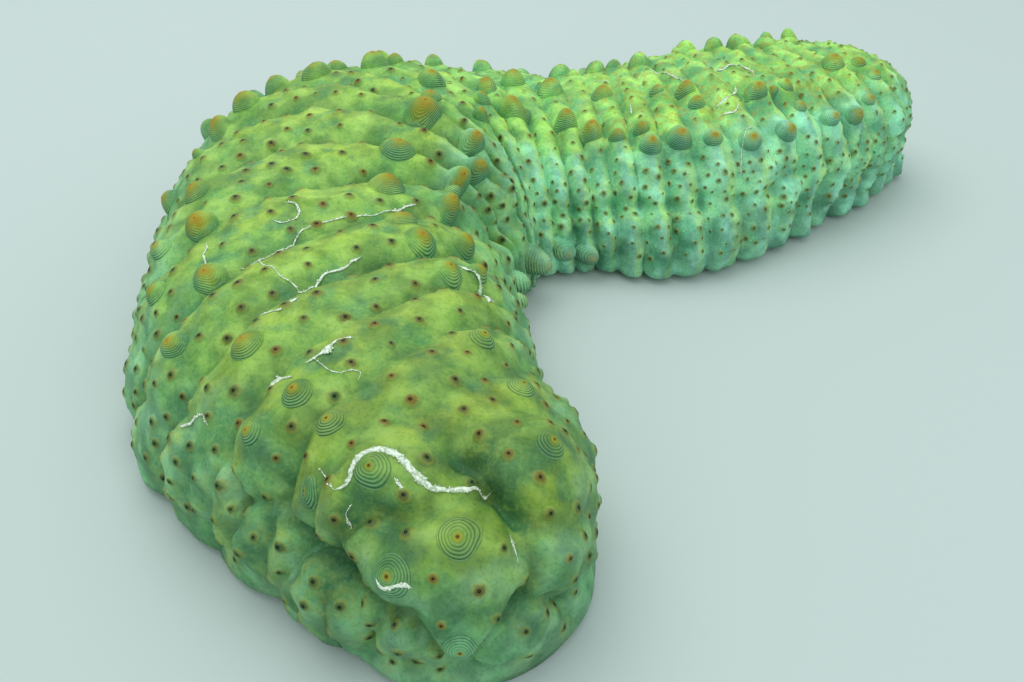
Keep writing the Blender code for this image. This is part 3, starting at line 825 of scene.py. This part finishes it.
@dataclass
class SpotPlan:
    """Where the papillae, the flank feet and the podia stand."""

    form: BodyForm
    row_seed: int = 7
    feet_at: tuple = (
        (101, 0.045, 6.0, 4.0), (114, 0.05, 8.5, 6.5), (190, 0.05, 11.0, 8.5), (246, 0.05, 8.5, 5.0),
        (259, 0.035, 7.5, 4.0),
    )
    podium_seed: int = 31
    podium_draws: int = 14000
    podium_width: float = 3.0
    podium_height: float = 0.6
    podium_gaps: tuple = ((0, 5.8), (50, 6.8), (150, 6.4), (190, 5.6), (250, 4.8), (394, 4.4))
    flank_gap_share: tuple = ((0, 0.80), (130, 0.70), (200, 0.60), (255, 0.56), (394, 0.56))

    def middle(self, spots: list) -> np.ndarray:
        """Each spot's place on the smooth body."""
        form = self.form
        station = np.array([spot.station for spot in spots])
        girth = np.array([spot.girth for spot in spots])
        along = np.clip(station + form.lag(station, girth), 0.02, form.length - 0.02)
        return form.smooth(along, girth)[0]

    def settled(self, station: float, girth: float, width: float, height: float) -> Spot:
        """A papilla moved a little along the body, onto the crest of its fold."""
        plan, reach = self.form.plan, self.form.plan.settle_reach
        shifts = np.linspace(-reach, reach, 17) * (station > plan.crests[3])
        crest = self.form.skin(station + shifts, girth)["crest"]
        shift = shifts[np.argmax(crest - 0.3 * (shifts / reach) ** 2)]
        _, wider, taller = (np.interp(station, *zip(*[(row[0], row[i]) for row in plan.papilla_scales]))
                            for i in range(3))
        return Spot(station + shift, girth, width * wider, height * taller)

    def room(self, one: Spot, spots: list) -> float:
        """The room round a spot, as a share of what it and its neighbours need."""
        if not spots:
            return 1.0
        gaps = np.linalg.norm(self.middle(spots) - self.middle([one]), axis=1)
        return min(gaps / [(one.width + other.width) * 0.44 for other in spots])

    def papillae(self) -> list:
        """The large papillae, each at its own place, and along rows on the far flank."""
        form, plan = self.form, self.form.plan
        draw = np.random.RandomState(self.row_seed)
        stations, widths, heights = zip(*plan.papilla_sizes)

        def spot(station: float, girth: float, most: float) -> Spot:
            size = draw.uniform(0.9, 1.12)
            width = min(np.interp(station, stations, widths) * size, most)
            return Spot(station, girth, width, np.interp(station, stations, heights) * size)

        spots = []
        for place in plan.papillae:
            one = self.settled(*place)
            if self.room(one, spots) < 1:
                one = replace(one, station=place[0])
            fit = min(self.room(one, spots), 1.0)
            spots.append(replace(one, width=one.width * fit, height=one.height * fit))
        borders = np.concatenate([[0], plan.crests])
        for row in plan.rows:
            for fold in range(len(plan.crests) - 1):
                station = plan.crests[fold]
                if not row[0][0] <= station <= row[-1][0]:
                    continue
                girth = np.interp(station, *zip(*row))
                sides = np.interp((fold - 0.5, fold + 0.5), range(-1, len(plan.crests)), borders)
                sides = sides + form.lag(sides, np.full(2, girth))
                pitch = np.linalg.norm(np.diff(form.smooth(sides, np.full(2, girth))[0], axis=0))
                one = spot(station + draw.uniform(-1.2, 1.2), girth + draw.uniform(-0.014, 0.014), 1.15 * pitch)
                if self.room(one, spots) > 1:
                    spots.append(one)
        return spots

    def feet(self) -> list:
        """Ringed grey feet where folds of the right flank end."""
        return [Spot(*place, Knob.FOOT) for place in self.feet_at]

    def podia(self, taken: list) -> list:
        """Small sunken podia scattered apart from each other and from the knobs."""
        form, draw = self.form, np.random.RandomState(self.podium_seed)
        station = draw.uniform(0.5, form.length - 0.5, self.podium_draws)
        girth = draw.uniform(0.03, 0.97, self.podium_draws)
        sizes = draw.uniform(0.72, 1.15, self.podium_draws) ** np.interp(station, (200, 260), (1.0, 1.9))
        sizes = sizes * np.interp(station, (0, 45, 80, 170, 250, 394), (1.18, 1.24, 1.32, 1.25, 0.82, 0.76))
        read = form.skin(station, girth)
        points, crest = form.smooth(read["along"], girth)[0], read["crest"]
        gaps = np.interp(station, *zip(*self.podium_gaps))
        flank = soft_step((0.18, 0.32), np.abs(girth - 0.5))
        gaps = gaps * (1 + flank * (np.interp(station, *zip(*self.flank_gap_share)) - 1))
        others = self.middle(taken)
        reach = np.array([spot.width for spot in taken]) * 0.66 + 1.2
        open_place = (np.linalg.norm(points[:, None] - others, axis=2) > reach).all(1) & (crest > 0.35)
        kept = np.zeros((0, 3))
        spots = []
        for i in np.nonzero(open_place)[0]:
            if len(kept) and np.linalg.norm(kept - points[i], axis=1).min() < gaps[i]:
                continue
            kept = np.vstack([kept, points[i]])
            width, height = self.podium_width * sizes[i], self.podium_height * sizes[i]
            spots.append(Spot(station[i], girth[i], width, height, Knob.PODIUM))
        return spots

    def bumps(self, spots: list) -> np.ndarray:
        """Soft mounds that the knobs stand on: place, radius and height."""
        grow = {Knob.PAPILLA: (0.95, 1.3), Knob.FOOT: (0.9, 0.8), Knob.PODIUM: (1.5, 0.8)}
        rows = [(spot.width * grow[spot.kind][0], grow[spot.kind][1]) for spot in spots]
        return np.hstack([self.middle(spots), rows])


@dataclass(frozen=True)
class RingedFinish:
    """Terraced skin with fine dark steps, partly its own rings and partly painted shade in their grooves, golden
    above, with a rusty middle, and painted shade on each knob's downhill side.
    """

    name: str = "ringed_papilla"
    gold: tuple = (0.275, 0.262, 0.012)
    eye: tuple = (0.330, 0.172, 0.008)
    pit: tuple = (0.085, 0.045, 0.010)
    # Dark teal of the groove lines: partly the rings' own colour, partly painted shade.
    ring: tuple = (0.004, 0.060, 0.036)
    mint: tuple = (0.250, 0.460, 0.230)
    ring_top: tuple = (0.13, 0.095, 0.012)
    # Painted shade colour on each knob's downhill side.
    low: tuple = (0.050, 0.215, 0.120)
    gold_share: float = 0.92
    skin: SkinFinish = field(default_factory=SkinFinish)

    def line(self, make: NodeMaker, width: float) -> bpy.types.NodeSocket:
        """How deep in a groove between two rings each point is, from 0 to 1."""
        wave = make.math("COSINE", make.value("rings"))
        return make.math("MULTIPLY", make.ramp(wave, width, 0.95), make.value("groove"))

    def relief(self, tree: bpy.types.NodeTree) -> bpy.types.NodeSocket:
        """The grooves' height."""
        make = NodeMaker(tree)
        return make.math("MULTIPLY", self.line(make, -0.8), -0.5)

    def colour(self, tree: bpy.types.NodeTree) -> bpy.types.NodeSocket:
        """Adds the knob's colour to a tree and returns its socket."""
        make = NodeMaker(tree)
        share, reach = make.value("share"), make.value("reach")
        stir = make.math("SUBTRACT", make.noise(make.place(), 420.0, 4.0), 0.5)
        line = self.line(make, 0.24)
        tipped = make.math("ADD", make.math("DIVIDE", share, reach), make.math("MULTIPLY", stir, 0.9))
        colour = self.skin.colour(tree)
        # Painted shade on each knob's downhill side.
        colour = make.blend(make.math("MULTIPLY", make.value("shade"), 0.7), colour, self.low)
        gold = make.math("MULTIPLY", make.ramp(tipped, 1.05, 0.15), self.gold_share)
        colour = make.blend(gold, colour, self.gold)
        colour = make.blend(make.math("MULTIPLY", make.ramp(tipped, 0.40, 0.02), 0.80), colour, self.eye)
        pit = make.math("MULTIPLY", make.ramp(share, 0.13, 0.05), make.ramp(reach, 0.62, 0.40))
        colour = make.blend(make.math("MULTIPLY", pit, 0.85), colour, self.pit)
        wave = make.math("COSINE", make.value("rings"))
        mint = make.math("MULTIPLY", make.ramp(wave, 0.0, -0.9), make.value("groove"))
        mint = make.math("MULTIPLY", mint, make.ramp(tipped, 0.5, 1.1))
        colour = make.blend(make.math("MULTIPLY", mint, 0.35), colour, self.mint)
        # Groove lines: partly the knob's own dark rings, partly painted shade in the grooves.
        ring = make.blend(make.ramp(tipped, 0.55, 1.1), self.ring_top, self.ring)
        return make.blend(make.math("MULTIPLY", line, 0.9), colour, ring)

    def make(self) -> bpy.types.Material:
        """The knobs' material."""
        return finish_material(self.name, self.colour, 0.55, 0.45, 1400.0, self.relief)


@dataclass(frozen=True)
class PodiumFinish:
    """A soft brown spot, rusty or nearly black, fading into the skin."""

    pit: tuple = (0.070, 0.048, 0.008)
    pit_dark: tuple = (0.020, 0.045, 0.014)
    dark: tuple = (0.045, 0.100, 0.026)
    rust: tuple = (0.160, 0.090, 0.010)
    rim: tuple = (0.220, 0.225, 0.035)
    skin: SkinFinish = field(default_factory=SkinFinish)

    def colour(self, tree: bpy.types.NodeTree) -> bpy.types.NodeSocket:
        """Adds the podium's colour to a tree and returns its socket."""
        make = NodeMaker(tree)
        stir = make.math("SUBTRACT", make.noise(make.place(), 900.0, 2.0), 0.5)
        share = make.math("ADD", make.value("share"), make.math("MULTIPLY", stir, 0.5))
        spot = make.blend(make.value("tone"), self.dark, self.rust)
        faint = make.math("MULTIPLY", make.ramp(make.value("along"), 0.54, 0.68), 0.32)
        bold = make.math("SUBTRACT", 0.9, faint)
        colour = make.blend(make.math("MULTIPLY", make.ramp(share, 1.0, 0.55), 0.7), self.skin.colour(tree), self.rim)
        colour = make.blend(make.math("MULTIPLY", make.ramp(share, 0.72, 0.34), bold), colour, spot)
        pit = make.blend(make.value("tone"), self.pit_dark, self.pit)
        return make.blend(make.math("MULTIPLY", make.ramp(share, 0.36, 0.12), bold), colour, pit)

    def make(self) -> bpy.types.Material:
        """The podia's material."""
        return finish_material("sunken_podium", self.colour, 0.5, 0.05, 1400.0)


@dataclass
class Patches:
    """Round patches of skin, one a spot, drawn up into knobs."""

    form: BodyForm
    spots: list
    rings: int
    spokes: int
    folded: bool = True
    sloped: bool = False
    dome_share: float = 0.0

    def shares(self) -> np.ndarray:
        """Shares of the radius that the rings lie at, crowding at the rim of a dome."""
        if not self.dome_share:
            return np.linspace(0, 1, self.rings + 1)[1:]
        rising = self.dome_share * np.sin(np.linspace(0, math.pi / 2, self.rings - 3))
        return np.concatenate([rising[1:], np.linspace(self.dome_share, 1, 5)[1:]])

    def lay(self) -> dict:
        """Lays a polar grid on the skin about each spot.

        Returns:
            The grids as read from the skin, each point's share of the radius
            and its turn, each spot's outward normal and the turn that points
            down its slope, one spot a row.
        """
        form, count = self.form, len(self.spots)
        station = np.array([spot.station for spot in self.spots])
        girth = np.array([spot.girth for spot in self.spots])
        radius = np.array([spot.width for spot in self.spots]) / 2
        ring = self.shares()
        spoke = np.linspace(0, 2 * math.pi, self.spokes, endpoint=False)
        share = np.concatenate([[0], np.repeat(ring, self.spokes)])
        turn = np.concatenate([[0], np.tile(spoke, self.rings)])
        nudge = np.array([[0, 0], [0.5, 0], [0, 0.004]])
        near_s, near_g = station[:, None] + nudge[:, 0], girth[:, None] + nudge[:, 1]
        along = np.clip(near_s + form.lag(near_s, near_g), 0.02, form.length - 0.02)
        three, normals = form.smooth(along.ravel(), near_g.ravel())
        if self.sloped:
            three = form.skin(near_s.ravel(), np.clip(near_g, 0, 1).ravel())["points"]
        three, normal = three.reshape(count, 3, 3), normals.reshape(count, 3, 3)[:, 0]
        per_s, per_g = (three[:, 1] - three[:, 0]) / 0.5, (three[:, 2] - three[:, 0]) / 0.004
        if self.sloped:
            cross = np.cross(per_s, per_g)
            cross /= np.linalg.norm(cross, axis=1)[:, None]
            normal = cross * np.sign((cross * normal).sum(1))[:, None]
        first = per_s / np.linalg.norm(per_s, axis=1)[:, None]
        second = np.cross(normal, first)
        flat = radius[:, None, None] * share[:, None] * (
            np.cos(turn)[:, None] * first[:, None] + np.sin(turn)[:, None] * second[:, None]
        )
        ss, sg = (per_s * per_s).sum(1), (per_s * per_g).sum(1)
        gg = (per_g * per_g).sum(1)
        on_s, on_g = (flat * per_s[:, None]).sum(2), (flat * per_g[:, None]).sum(2)
        whole = (ss * gg - sg * sg)[:, None]
        step_s = (on_s * gg[:, None] - on_g * sg[:, None]) / whole
        step_g = (on_g * ss[:, None] - on_s * sg[:, None]) / whole
        at_g = np.clip(girth[:, None] + step_g, 0, 1).ravel()
        read = form.skin((station[:, None] + step_s).ravel(), at_g)
        if not self.folded:
            read["points"] = form.smooth(read["along"], at_g)[0]
        read = {key: value.reshape(count, len(share), *value.shape[1:]) for key, value in read.items()}
        down = np.arctan2(-second[:, 2], -first[:, 2])
        return {**read, "share": share, "turn": turn, "way": normal, "down": down}

    def faces(self) -> tuple:
        """One patch's quads, and the triangles round its middle."""
        quads = grid_faces(self.rings, self.spokes, closed=True) + 1
        rim = np.arange(self.spokes) + 1
        fan = np.stack([np.zeros(self.spokes, int), rim, np.roll(rim, -1)], 1)
        return quads, fan

    def join(self, name: str, laid: dict, height: np.ndarray, way: np.ndarray, **values) -> bpy.types.Object:
        """Joins the raised patches into one mounted object.

        Args:
            name: The object's name.
            laid: What lay() returned.
            height: Height of each point over the skin, one spot a row.
            way: The way each spot's knob rises.
            **values: More numbers for the points, by name.

        Returns:
            The object, without a material.
        """
        parts = MeshParts(name)
        quads, fan = self.faces()
        length = self.form.length
        points = laid["points"] + height[..., None] * way[:, None]
        for i in range(len(self.spots)):
            places = np.stack([laid["along"][i] / length, laid["girth"][i] * 0.5], 1)
            own = {key: laid[key][i] for key in ("side", "crest", "lump", "edge")}
            own.update({key: value[i] for key, value in values.items()})
            start = parts.count
            parts.add(
                points[i], quads, places, along=laid["along"][i] / length,
                share=laid["share"], sole=0.0, halo=0.0, **own,
            )
            parts.faces.append(fan + start)
        thing = parts.build()
        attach(thing, BODY)
        return thing


@dataclass
class RingedKnobs:
    """Papillae or feet: low domes ringed with fine grooves."""

    form: BodyForm
    name: str
    spots: list
    finish: RingedFinish
    ring_pitch: float = 0.52
    ring_height: float = 0.03
    terrace: float = 0.5
    dome_share: float = 0.90
    dome_powers: tuple = (2.4, 0.70)
    nipple: float = 0.05
    lean: tuple = ((0.30, -0.10), (0.50, 0.10))
    aim: tuple = (0.0, 0.0, 0.0)
    sunk: float = 0.12
    grid: tuple = (48, 30)
    folded: bool = True
    seed: int = 23

    def build(self) -> bpy.types.Object:
        """Builds, dresses and mounts the knobs."""
        draw, count = np.random.RandomState(self.seed), len(self.spots)
        patches = Patches(self.form, self.spots, *self.grid, self.folded, dome_share=self.dome_share)
        laid = patches.lay()
        share, turn = laid["share"], laid["turn"]
        tall = np.array([spot.height for spot in self.spots])[:, None]
        wide = np.array([spot.width for spot in self.spots])[:, None]
        place = np.array([spot.station for spot in self.spots])[:, None]
        low = np.cos(turn - laid["down"][:, None])
        power = self.dome_powers[0] * draw.uniform(0.85, 1.2, (count, 1))
        reach = np.concatenate([[0], patches.shares()])
        profile = tall * np.clip(1 - np.clip(reach / self.dome_share, 0, 1) ** power, 0, 1) ** self.dome_powers[1]
        arc = np.hypot(np.diff(reach) * wide / 2, np.diff(profile, axis=1))
        arc = np.hstack([np.zeros((count, 1)), np.cumsum(arc, axis=1)])
        arc = arc / self.ring_pitch * draw.uniform(0.9, 1.15, (count, 1))
        level = np.concatenate([[0], np.repeat(np.arange(self.grid[0]) + 1, self.grid[1])])
        ring = arc[:, level] * (1 + 0.10 * low * (1 - share))
        ring = ring + 0.22 * share * np.sin(2 * turn + draw.uniform(0, 6, (count, 1)))
        ring = ring + 0.09 * share * np.sin(5 * turn + draw.uniform(0, 6, (count, 1)))
        per_share = np.gradient(arc, reach, axis=1)[:, level]
        terraced = share - self.terrace * np.sin(2 * math.pi * ring) / (2 * math.pi * per_share)
        inner = np.clip(terraced / self.dome_share, 0, 1)
        dome = np.clip(1 - inner**power, 0, 1) ** self.dome_powers[1]
        tip = self.nipple * np.exp(-((share / 0.16) ** 2))
        line = 2 * math.pi * (ring - 0.72)
        held = soft_step((0.12, 0.35), share) * (1 - soft_step((0.95, 1.0), share))
        height = tall * (dome + tip) - self.ring_height * np.cos(line) * held - self.sunk * share**6
        way = laid["way"] + np.array(self.aim)
        way[:, 2] += np.interp([spot.girth for spot in self.spots], *zip(*self.lean))
        way /= np.linalg.norm(way, axis=1)[:, None]
        front = np.interp(place, (20, 70), (0.85, 0.0))
        # The groove lines are drawn darker on each knob's downhill side: painted shade.
        dark = np.maximum(0.68 + 0.5 * low, front) * (0.45 + 0.75 * share)
        strength = draw.uniform(0.85, 1.15, (count, 1)) * np.interp(place, (18, 42, 120, 230, 290), (0.72, 1.2, 1.15, 1.2, 0.9))
        reach = np.interp(place, (0, 45, 90), (0.24, 0.40, 0.78)) * draw.uniform(0.8, 1.2, (count, 1))
        around = np.array([spot.girth for spot in self.spots])[:, None]
        reach = reach * (1 - 0.6 * (place > 255) * soft_step((0.50, 0.58), around))
        reach = np.broadcast_to(reach, dome.shape)
        # Keeps the painted shade of creases and fold slopes off the domes.
        laid["crest"] = np.maximum(laid["crest"], dome)
        # Painted shade: how far down each knob's downhill side a point lies.
        shade = np.clip(low, 0, 1) * share * np.interp(place, (30, 90, 240), (0.3, 0.8, 1.0))
        thing = patches.join(
            self.name, laid, height, way, rings=line, groove=np.clip(held * dark * strength, 0, 1),
            reach=reach, shade=shade,
        )
        thing.data.materials.append(self.finish.make())
        return thing


@dataclass
class Podia:
    """The small podia, pimples with a pit."""

    form: BodyForm
    spots: list
    finish: PodiumFinish = field(default_factory=PodiumFinish)
    grid: tuple = (6, 12)
    pit_depth: float = 0.30
    seed: int = 53

    def build(self) -> bpy.types.Object:
        """Builds, dresses and mounts the podia."""
        patches = Patches(self.form, self.spots, *self.grid, sloped=True)
        laid = patches.lay()
        share = laid["share"]
        tall = np.array([spot.height for spot in self.spots])[:, None]
        pit = self.pit_depth * np.exp(-((share / 0.28) ** 2))
        height = tall * (1 - share**2) ** 1.3 - pit - 0.06 * share**4
        draw = np.random.RandomState(self.seed)
        tone = draw.uniform(0.0, 1.0, (len(self.spots), 1)) ** 1.2
        back = np.array([1 - 2 * abs(spot.girth - 0.5) for spot in self.spots])[:, None]
        tone = np.broadcast_to(tone * (0.05 + 0.95 * soft_step((0.3, 0.6), back)), height.shape)
        thing = patches.join("podia", laid, height, laid["way"], tone=tone)
        thing.data.materials.append(self.finish.make())
        return thing


@dataclass(frozen=True)
class Strand:
    """One thread of slime: its width in millimetres and its course over the skin."""

    width: float
    course: tuple


@dataclass(frozen=True)
class SlimeFinish:
    """Off-white slime with grains of sand stuck to it."""

    colour: tuple = (0.72, 0.78, 0.66)
    shade: tuple = (0.38, 0.46, 0.30)

    def make(self) -> bpy.types.Material:
        """The slime's material."""

        def colour(tree: bpy.types.NodeTree) -> bpy.types.NodeSocket:
            make = NodeMaker(tree)
            return make.blend(make.ramp(make.noise(make.place(), 1500.0, 2.0), 0.35, 0.6), self.shade, self.colour)

        return finish_material("slime", colour, 0.5, 0.2, 2500.0)


@dataclass
class Slime:
    """Threads of slime lying in the creases and over the head end."""

    form: BodyForm
    spots: list
    middles: np.ndarray
    finish: SlimeFinish = field(default_factory=SlimeFinish)
    strands: tuple = (
        Strand(1.0, ((41, 0.690), (30, 0.689))),
        Strand(1.9, (
            (30, 0.689), (28, 0.656), (31, 0.624), (29, 0.594), (25, 0.568), (21, 0.560),
            (17, 0.539), (16, 0.499), (15, 0.453),
        )),
        Strand(2.9, ((29, 0.594), (25, 0.568), (21, 0.560), (18, 0.545))),
        Strand(2.4, ((31, 0.624), (29, 0.594), (25, 0.568))),
        Strand(1.2, ((25, 0.677), (25, 0.703), (23, 0.722))),
        Strand(0.7, ((22, 0.590), (19, 0.584), (17, 0.589))),
        Strand(1.4, ((11, 0.715), (9, 0.710), (8, 0.673), (7, 0.665))),
        Strand(0.7, ((8, 0.432), (5, 0.419))),
        Strand(1.1, (
            (112, 0.360), (111, 0.440), (112, 0.484), (113, 0.502), (111, 0.522), (104, 0.551),
            (107, 0.578), (110, 0.612),
        )),
        Strand(1.3, ((91, 0.477), (90, 0.501), (89, 0.519), (85, 0.541), (88, 0.548))),
        Strand(0.9, ((83, 0.550), (81, 0.577), (87, 0.611))),
        Strand(2.0, ((62, 0.523), (64, 0.540), (63, 0.581), (64, 0.594))),
        Strand(1.9, ((64, 0.620), (67, 0.644), (68, 0.673))),
        Strand(0.8, ((120, 0.543), (117, 0.516), (122, 0.512), (124, 0.523))),
        Strand(0.5, ((107, 0.578), (95, 0.561), (88, 0.545))),
        Strand(0.5, ((63, 0.581), (59, 0.574), (55, 0.560))),
        Strand(1.2, ((55, 0.560), (53, 0.539), (52, 0.548))),
        Strand(1.0, ((81, 0.831), (78, 0.799), (75, 0.777), (73, 0.786))),
        Strand(0.9, ((127, 0.656), (120, 0.657), (114, 0.653))),
        Strand(0.6, ((309, 0.260), (308, 0.219), (308, 0.164))),
        Strand(0.6, ((309, 0.260), (310, 0.281), (313, 0.289))),
        Strand(2.0, ((78, 0.331), (74, 0.314), (71, 0.289), (61, 0.293))),
        Strand(0.8, ((290, 0.535), (298, 0.517), (303, 0.477), (308, 0.456))),
        Strand(1.1, ((312, 0.495), (318, 0.494), (325, 0.494), (326, 0.455))),
        Strand(1.2, ((317, 0.435), (313, 0.402), (309, 0.385), (306, 0.386))),
        Strand(0.8, ((307, 0.356), (311, 0.347), (313, 0.369))),
        Strand(0.9, ((283, 0.451), (283, 0.412))),
        Strand(0.7, ((275, 0.544), (280, 0.527))),
    )
    step: float = 0.45
    sides: int = 7
    rise: float = 0.15
    stray: float = 0.55
    grains: int = 3
    seed: int = 41

    def lift(self, points: np.ndarray) -> np.ndarray:
        """How far the knobs raise each point over the bare skin."""
        lift = np.zeros(len(points))
        for spot, middle in zip(self.spots, self.middles):
            share = np.linalg.norm(points - middle, axis=1) / (spot.width / 2)
            lift = np.maximum(lift, spot.height * np.clip(1 - share**2, 0, 1) ** 0.8)
        return lift

    def course(self, strand: Strand) -> dict:
        """Reads the skin along a strand's course, straying a little to both sides."""
        form = self.form
        corners = np.array(strand.course, float)
        read = form.skin(corners[:, 0], corners[:, 1])["points"]
        reach = np.concatenate([[0], np.cumsum(np.linalg.norm(np.diff(read, axis=0), axis=1))])
        at = np.arange(0, reach[-1], self.step)
        smooth = natural_spline(reach, corners, at)
        here = np.stack([at, at * 0 + strand.width * 9, at * 0 + corners[0, 0]], 1)
        noise = form.noise[3]
        station = smooth[:, 0] + self.stray * noise.at(here, 3.1)
        girth = smooth[:, 1] + self.stray * noise.at(here + 50, 3.7) / 120
        read = form.skin(station, girth)
        along = np.clip(station + form.lag(station, girth), 0.02, form.length - 0.02)
        lift = self.lift(form.smooth(along, girth)[0])
        read["points"] = read["points"] + read["normals"] * lift[:, None]
        return {**read, "swell": noise.at(here + 90, 2.3)}

    def build(self) -> bpy.types.Object:
        """Builds, dresses and mounts the slime."""
        parts, draw = MeshParts("slime"), np.random.RandomState(self.seed)
        turn = np.linspace(0, 2 * math.pi, self.sides, endpoint=False)
        ball = np.array([(1, 0, 0), (0, 1, 0), (-1, 0, 0), (0, -1, 0), (0, 0, 1), (0, 0, -1)], float)
        eight = [(0, 1, 4), (1, 2, 4), (2, 3, 4), (3, 0, 4), (1, 0, 5), (2, 1, 5), (3, 2, 5), (0, 3, 5)]
        for strand in self.strands:
            read = self.course(strand)
            points, normals, count = read["points"], read["normals"], len(read["points"])
            ahead = np.gradient(points, axis=0)
            ahead /= np.linalg.norm(ahead, axis=1)[:, None] + 1e-9
            across = np.cross(normals, ahead)
            ends = np.minimum(np.arange(count), np.arange(count)[::-1]) * self.step
            width = strand.width / 2 * (0.62 + 0.6 * read["swell"]) * np.clip(ends / 1.5, 0.05, 1)
            width = np.maximum(width, 0.06)
            ragged = draw.uniform(0.75, 1.3, (count, self.sides, 1))
            ring = across[:, None] * np.cos(turn)[:, None] + 0.45 * normals[:, None] * np.sin(turn)[:, None]
            tube = points[:, None] + normals[:, None] * self.rise + ring * width[:, None, None] * ragged
            places = np.stack([read["along"] / self.form.length, read["girth"] * 0.5], 1)
            faces = grid_faces(count, self.sides, closed=True)
            parts.add(tube.reshape(-1, 3), faces, np.repeat(places, self.sides, 0))
            for i in range(count):
                for _ in range(draw.poisson(self.grains * width[i] * self.step)):
                    size = draw.uniform(0.18, 0.42)
                    shift = draw.uniform(-1, 1) * width[i] * 1.3
                    middle = points[i] + across[i] * shift + normals[i] * (self.rise + size * 0.4)
                    blob = middle + ball * size * draw.uniform(0.6, 1.2, (6, 1))
                    parts.add(blob, np.array(eight), np.repeat(places[i:i + 1], 6, 0))
        thing = parts.build()
        thing.data.materials.append(self.finish.make())
        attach(thing, BODY)
        return thing


@dataclass
class Studio:
    """Pale floor, soft light and the photograph's camera."""

    focal_pixels: float = 1000.0
    pitch: float = 36.0
    camera_place: tuple = (0.0525, -0.285, 0.175)
    floor_colour: tuple = (0.45, 0.505, 0.483)
    floor_size: float = 6.0

    def build_floor(self) -> bpy.types.Object:
        """A plain pale floor at the sole's level."""
        half = self.floor_size / 2
        mesh = bpy.data.meshes.new("floor")
        corners = [(-half, -half, 0), (half, -half, 0), (half, half, 0), (-half, half, 0)]
        mesh.from_pydata(corners, [], [(0, 1, 2, 3)])
        floor = bpy.data.objects.new("floor", mesh)
        bpy.context.scene.collection.objects.link(floor)
        material = bpy.data.materials.new("pale_floor")
        material.use_nodes = True
        shader = material.node_tree.nodes["Principled BSDF"]
        shader.inputs["Base Color"].default_value = (*self.floor_colour, 1)
        shader.inputs["Roughness"].default_value = 0.9
        mesh.materials.append(material)
        return floor

    def light(self, name: str, place: tuple, size: float, power: float, colour: tuple) -> None:
        """A square soft light aimed at the body."""
        data = bpy.data.lights.new(name, "AREA")
        data.size, data.energy, data.color = size, power, colour
        lamp = bpy.data.objects.new(name, data)
        lamp.location = place
        target = np.array([0.06, -0.02, 0.02])
        way = target - np.array(place)
        level = math.hypot(way[0], way[1])
        lamp.rotation_euler = (math.atan2(level, -way[2]), 0, math.atan2(way[1], way[0]) - math.pi / 2)
        bpy.context.scene.collection.objects.link(lamp)

    def build_lights(self) -> None:
        """A broad light overhead, a weak one from the front, and a pale surround."""
        self.light("overhead", (-0.15, 0.25, 1.0), 1.0, 6.5, (0.97, 1.0, 0.98))
        self.light("front_fill", (0.5, -0.9, 0.7), 0.8, 3.0, (0.93, 1.0, 1.0))
        world = bpy.data.worlds.new("surround")
        world.use_nodes = True
        world.node_tree.nodes["Background"].inputs["Color"].default_value = (0.80, 0.92, 0.95, 1)
        world.node_tree.nodes["Background"].inputs["Strength"].default_value = 0.92
        bpy.context.scene.world = world
        bpy.context.scene.view_settings.view_transform = "Standard"

    def build_camera(self) -> None:
        """The photograph's own view, from in front and a little above."""
        data = bpy.data.cameras.new("camera")
        data.lens = SENSOR * self.focal_pixels / PHOTO_WIDTH
        data.sensor_width = SENSOR
        data.clip_start = 0.01
        camera = bpy.data.objects.new("camera", data)
        camera.location = self.camera_place
        camera.rotation_euler = (math.radians(90 - self.pitch), 0, 0)
        bpy.context.scene.collection.objects.link(camera)
        bpy.context.scene.camera = camera


def main() -> None:
    """Builds the sea cucumber and its studio."""
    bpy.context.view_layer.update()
    form = BodyForm()
    plan = SpotPlan(form)
    papillae, feet = plan.papillae(), plan.feet()
    podia = plan.podia(papillae + feet)
    form.bumps = plan.bumps(papillae + feet + podia)
    front = [spot for spot in papillae if spot.station < 180]
    hind = [spot for spot in papillae if spot.station >= 180]
    # The feet's low colour is painted shade on their downhill sides.
    grey = RingedFinish(
        "ringed_foot", gold=(0.19, 0.28, 0.14), eye=(0.30, 0.27, 0.08), pit=(0.12, 0.08, 0.03),
        ring_top=(0.02, 0.06, 0.04), low=(0.08, 0.19, 0.14), gold_share=0.7,
    )
    pieces = [
        BodySkin(form, len(papillae) + len(feet)),
        RingedKnobs(form, "papillae_front", front, RingedFinish()),
        RingedKnobs(form, "papillae_hind", hind, RingedFinish(), dome_powers=(2.5, 0.66), seed=29),
        RingedKnobs(
            form, "flank_feet", feet, grey, ring_pitch=1.0, dome_powers=(2.6, 0.55),
            aim=(0.8, -0.5, -0.1), seed=37, folded=False,
        ),
        Podia(form, podia),
        Slime(form, papillae, plan.middle(papillae)),
    ]
    for piece in pieces:
        thing = piece.build()
        LOG.info("%s: %d faces", thing.name, len(thing.data.polygons))
    studio = Studio()
    studio.build_floor()
    studio.build_lights()
    studio.build_camera()


if __name__ == "__main__":
    logging.basicConfig(level=logging.INFO, format="%(name)s: %(message)s")
    main()
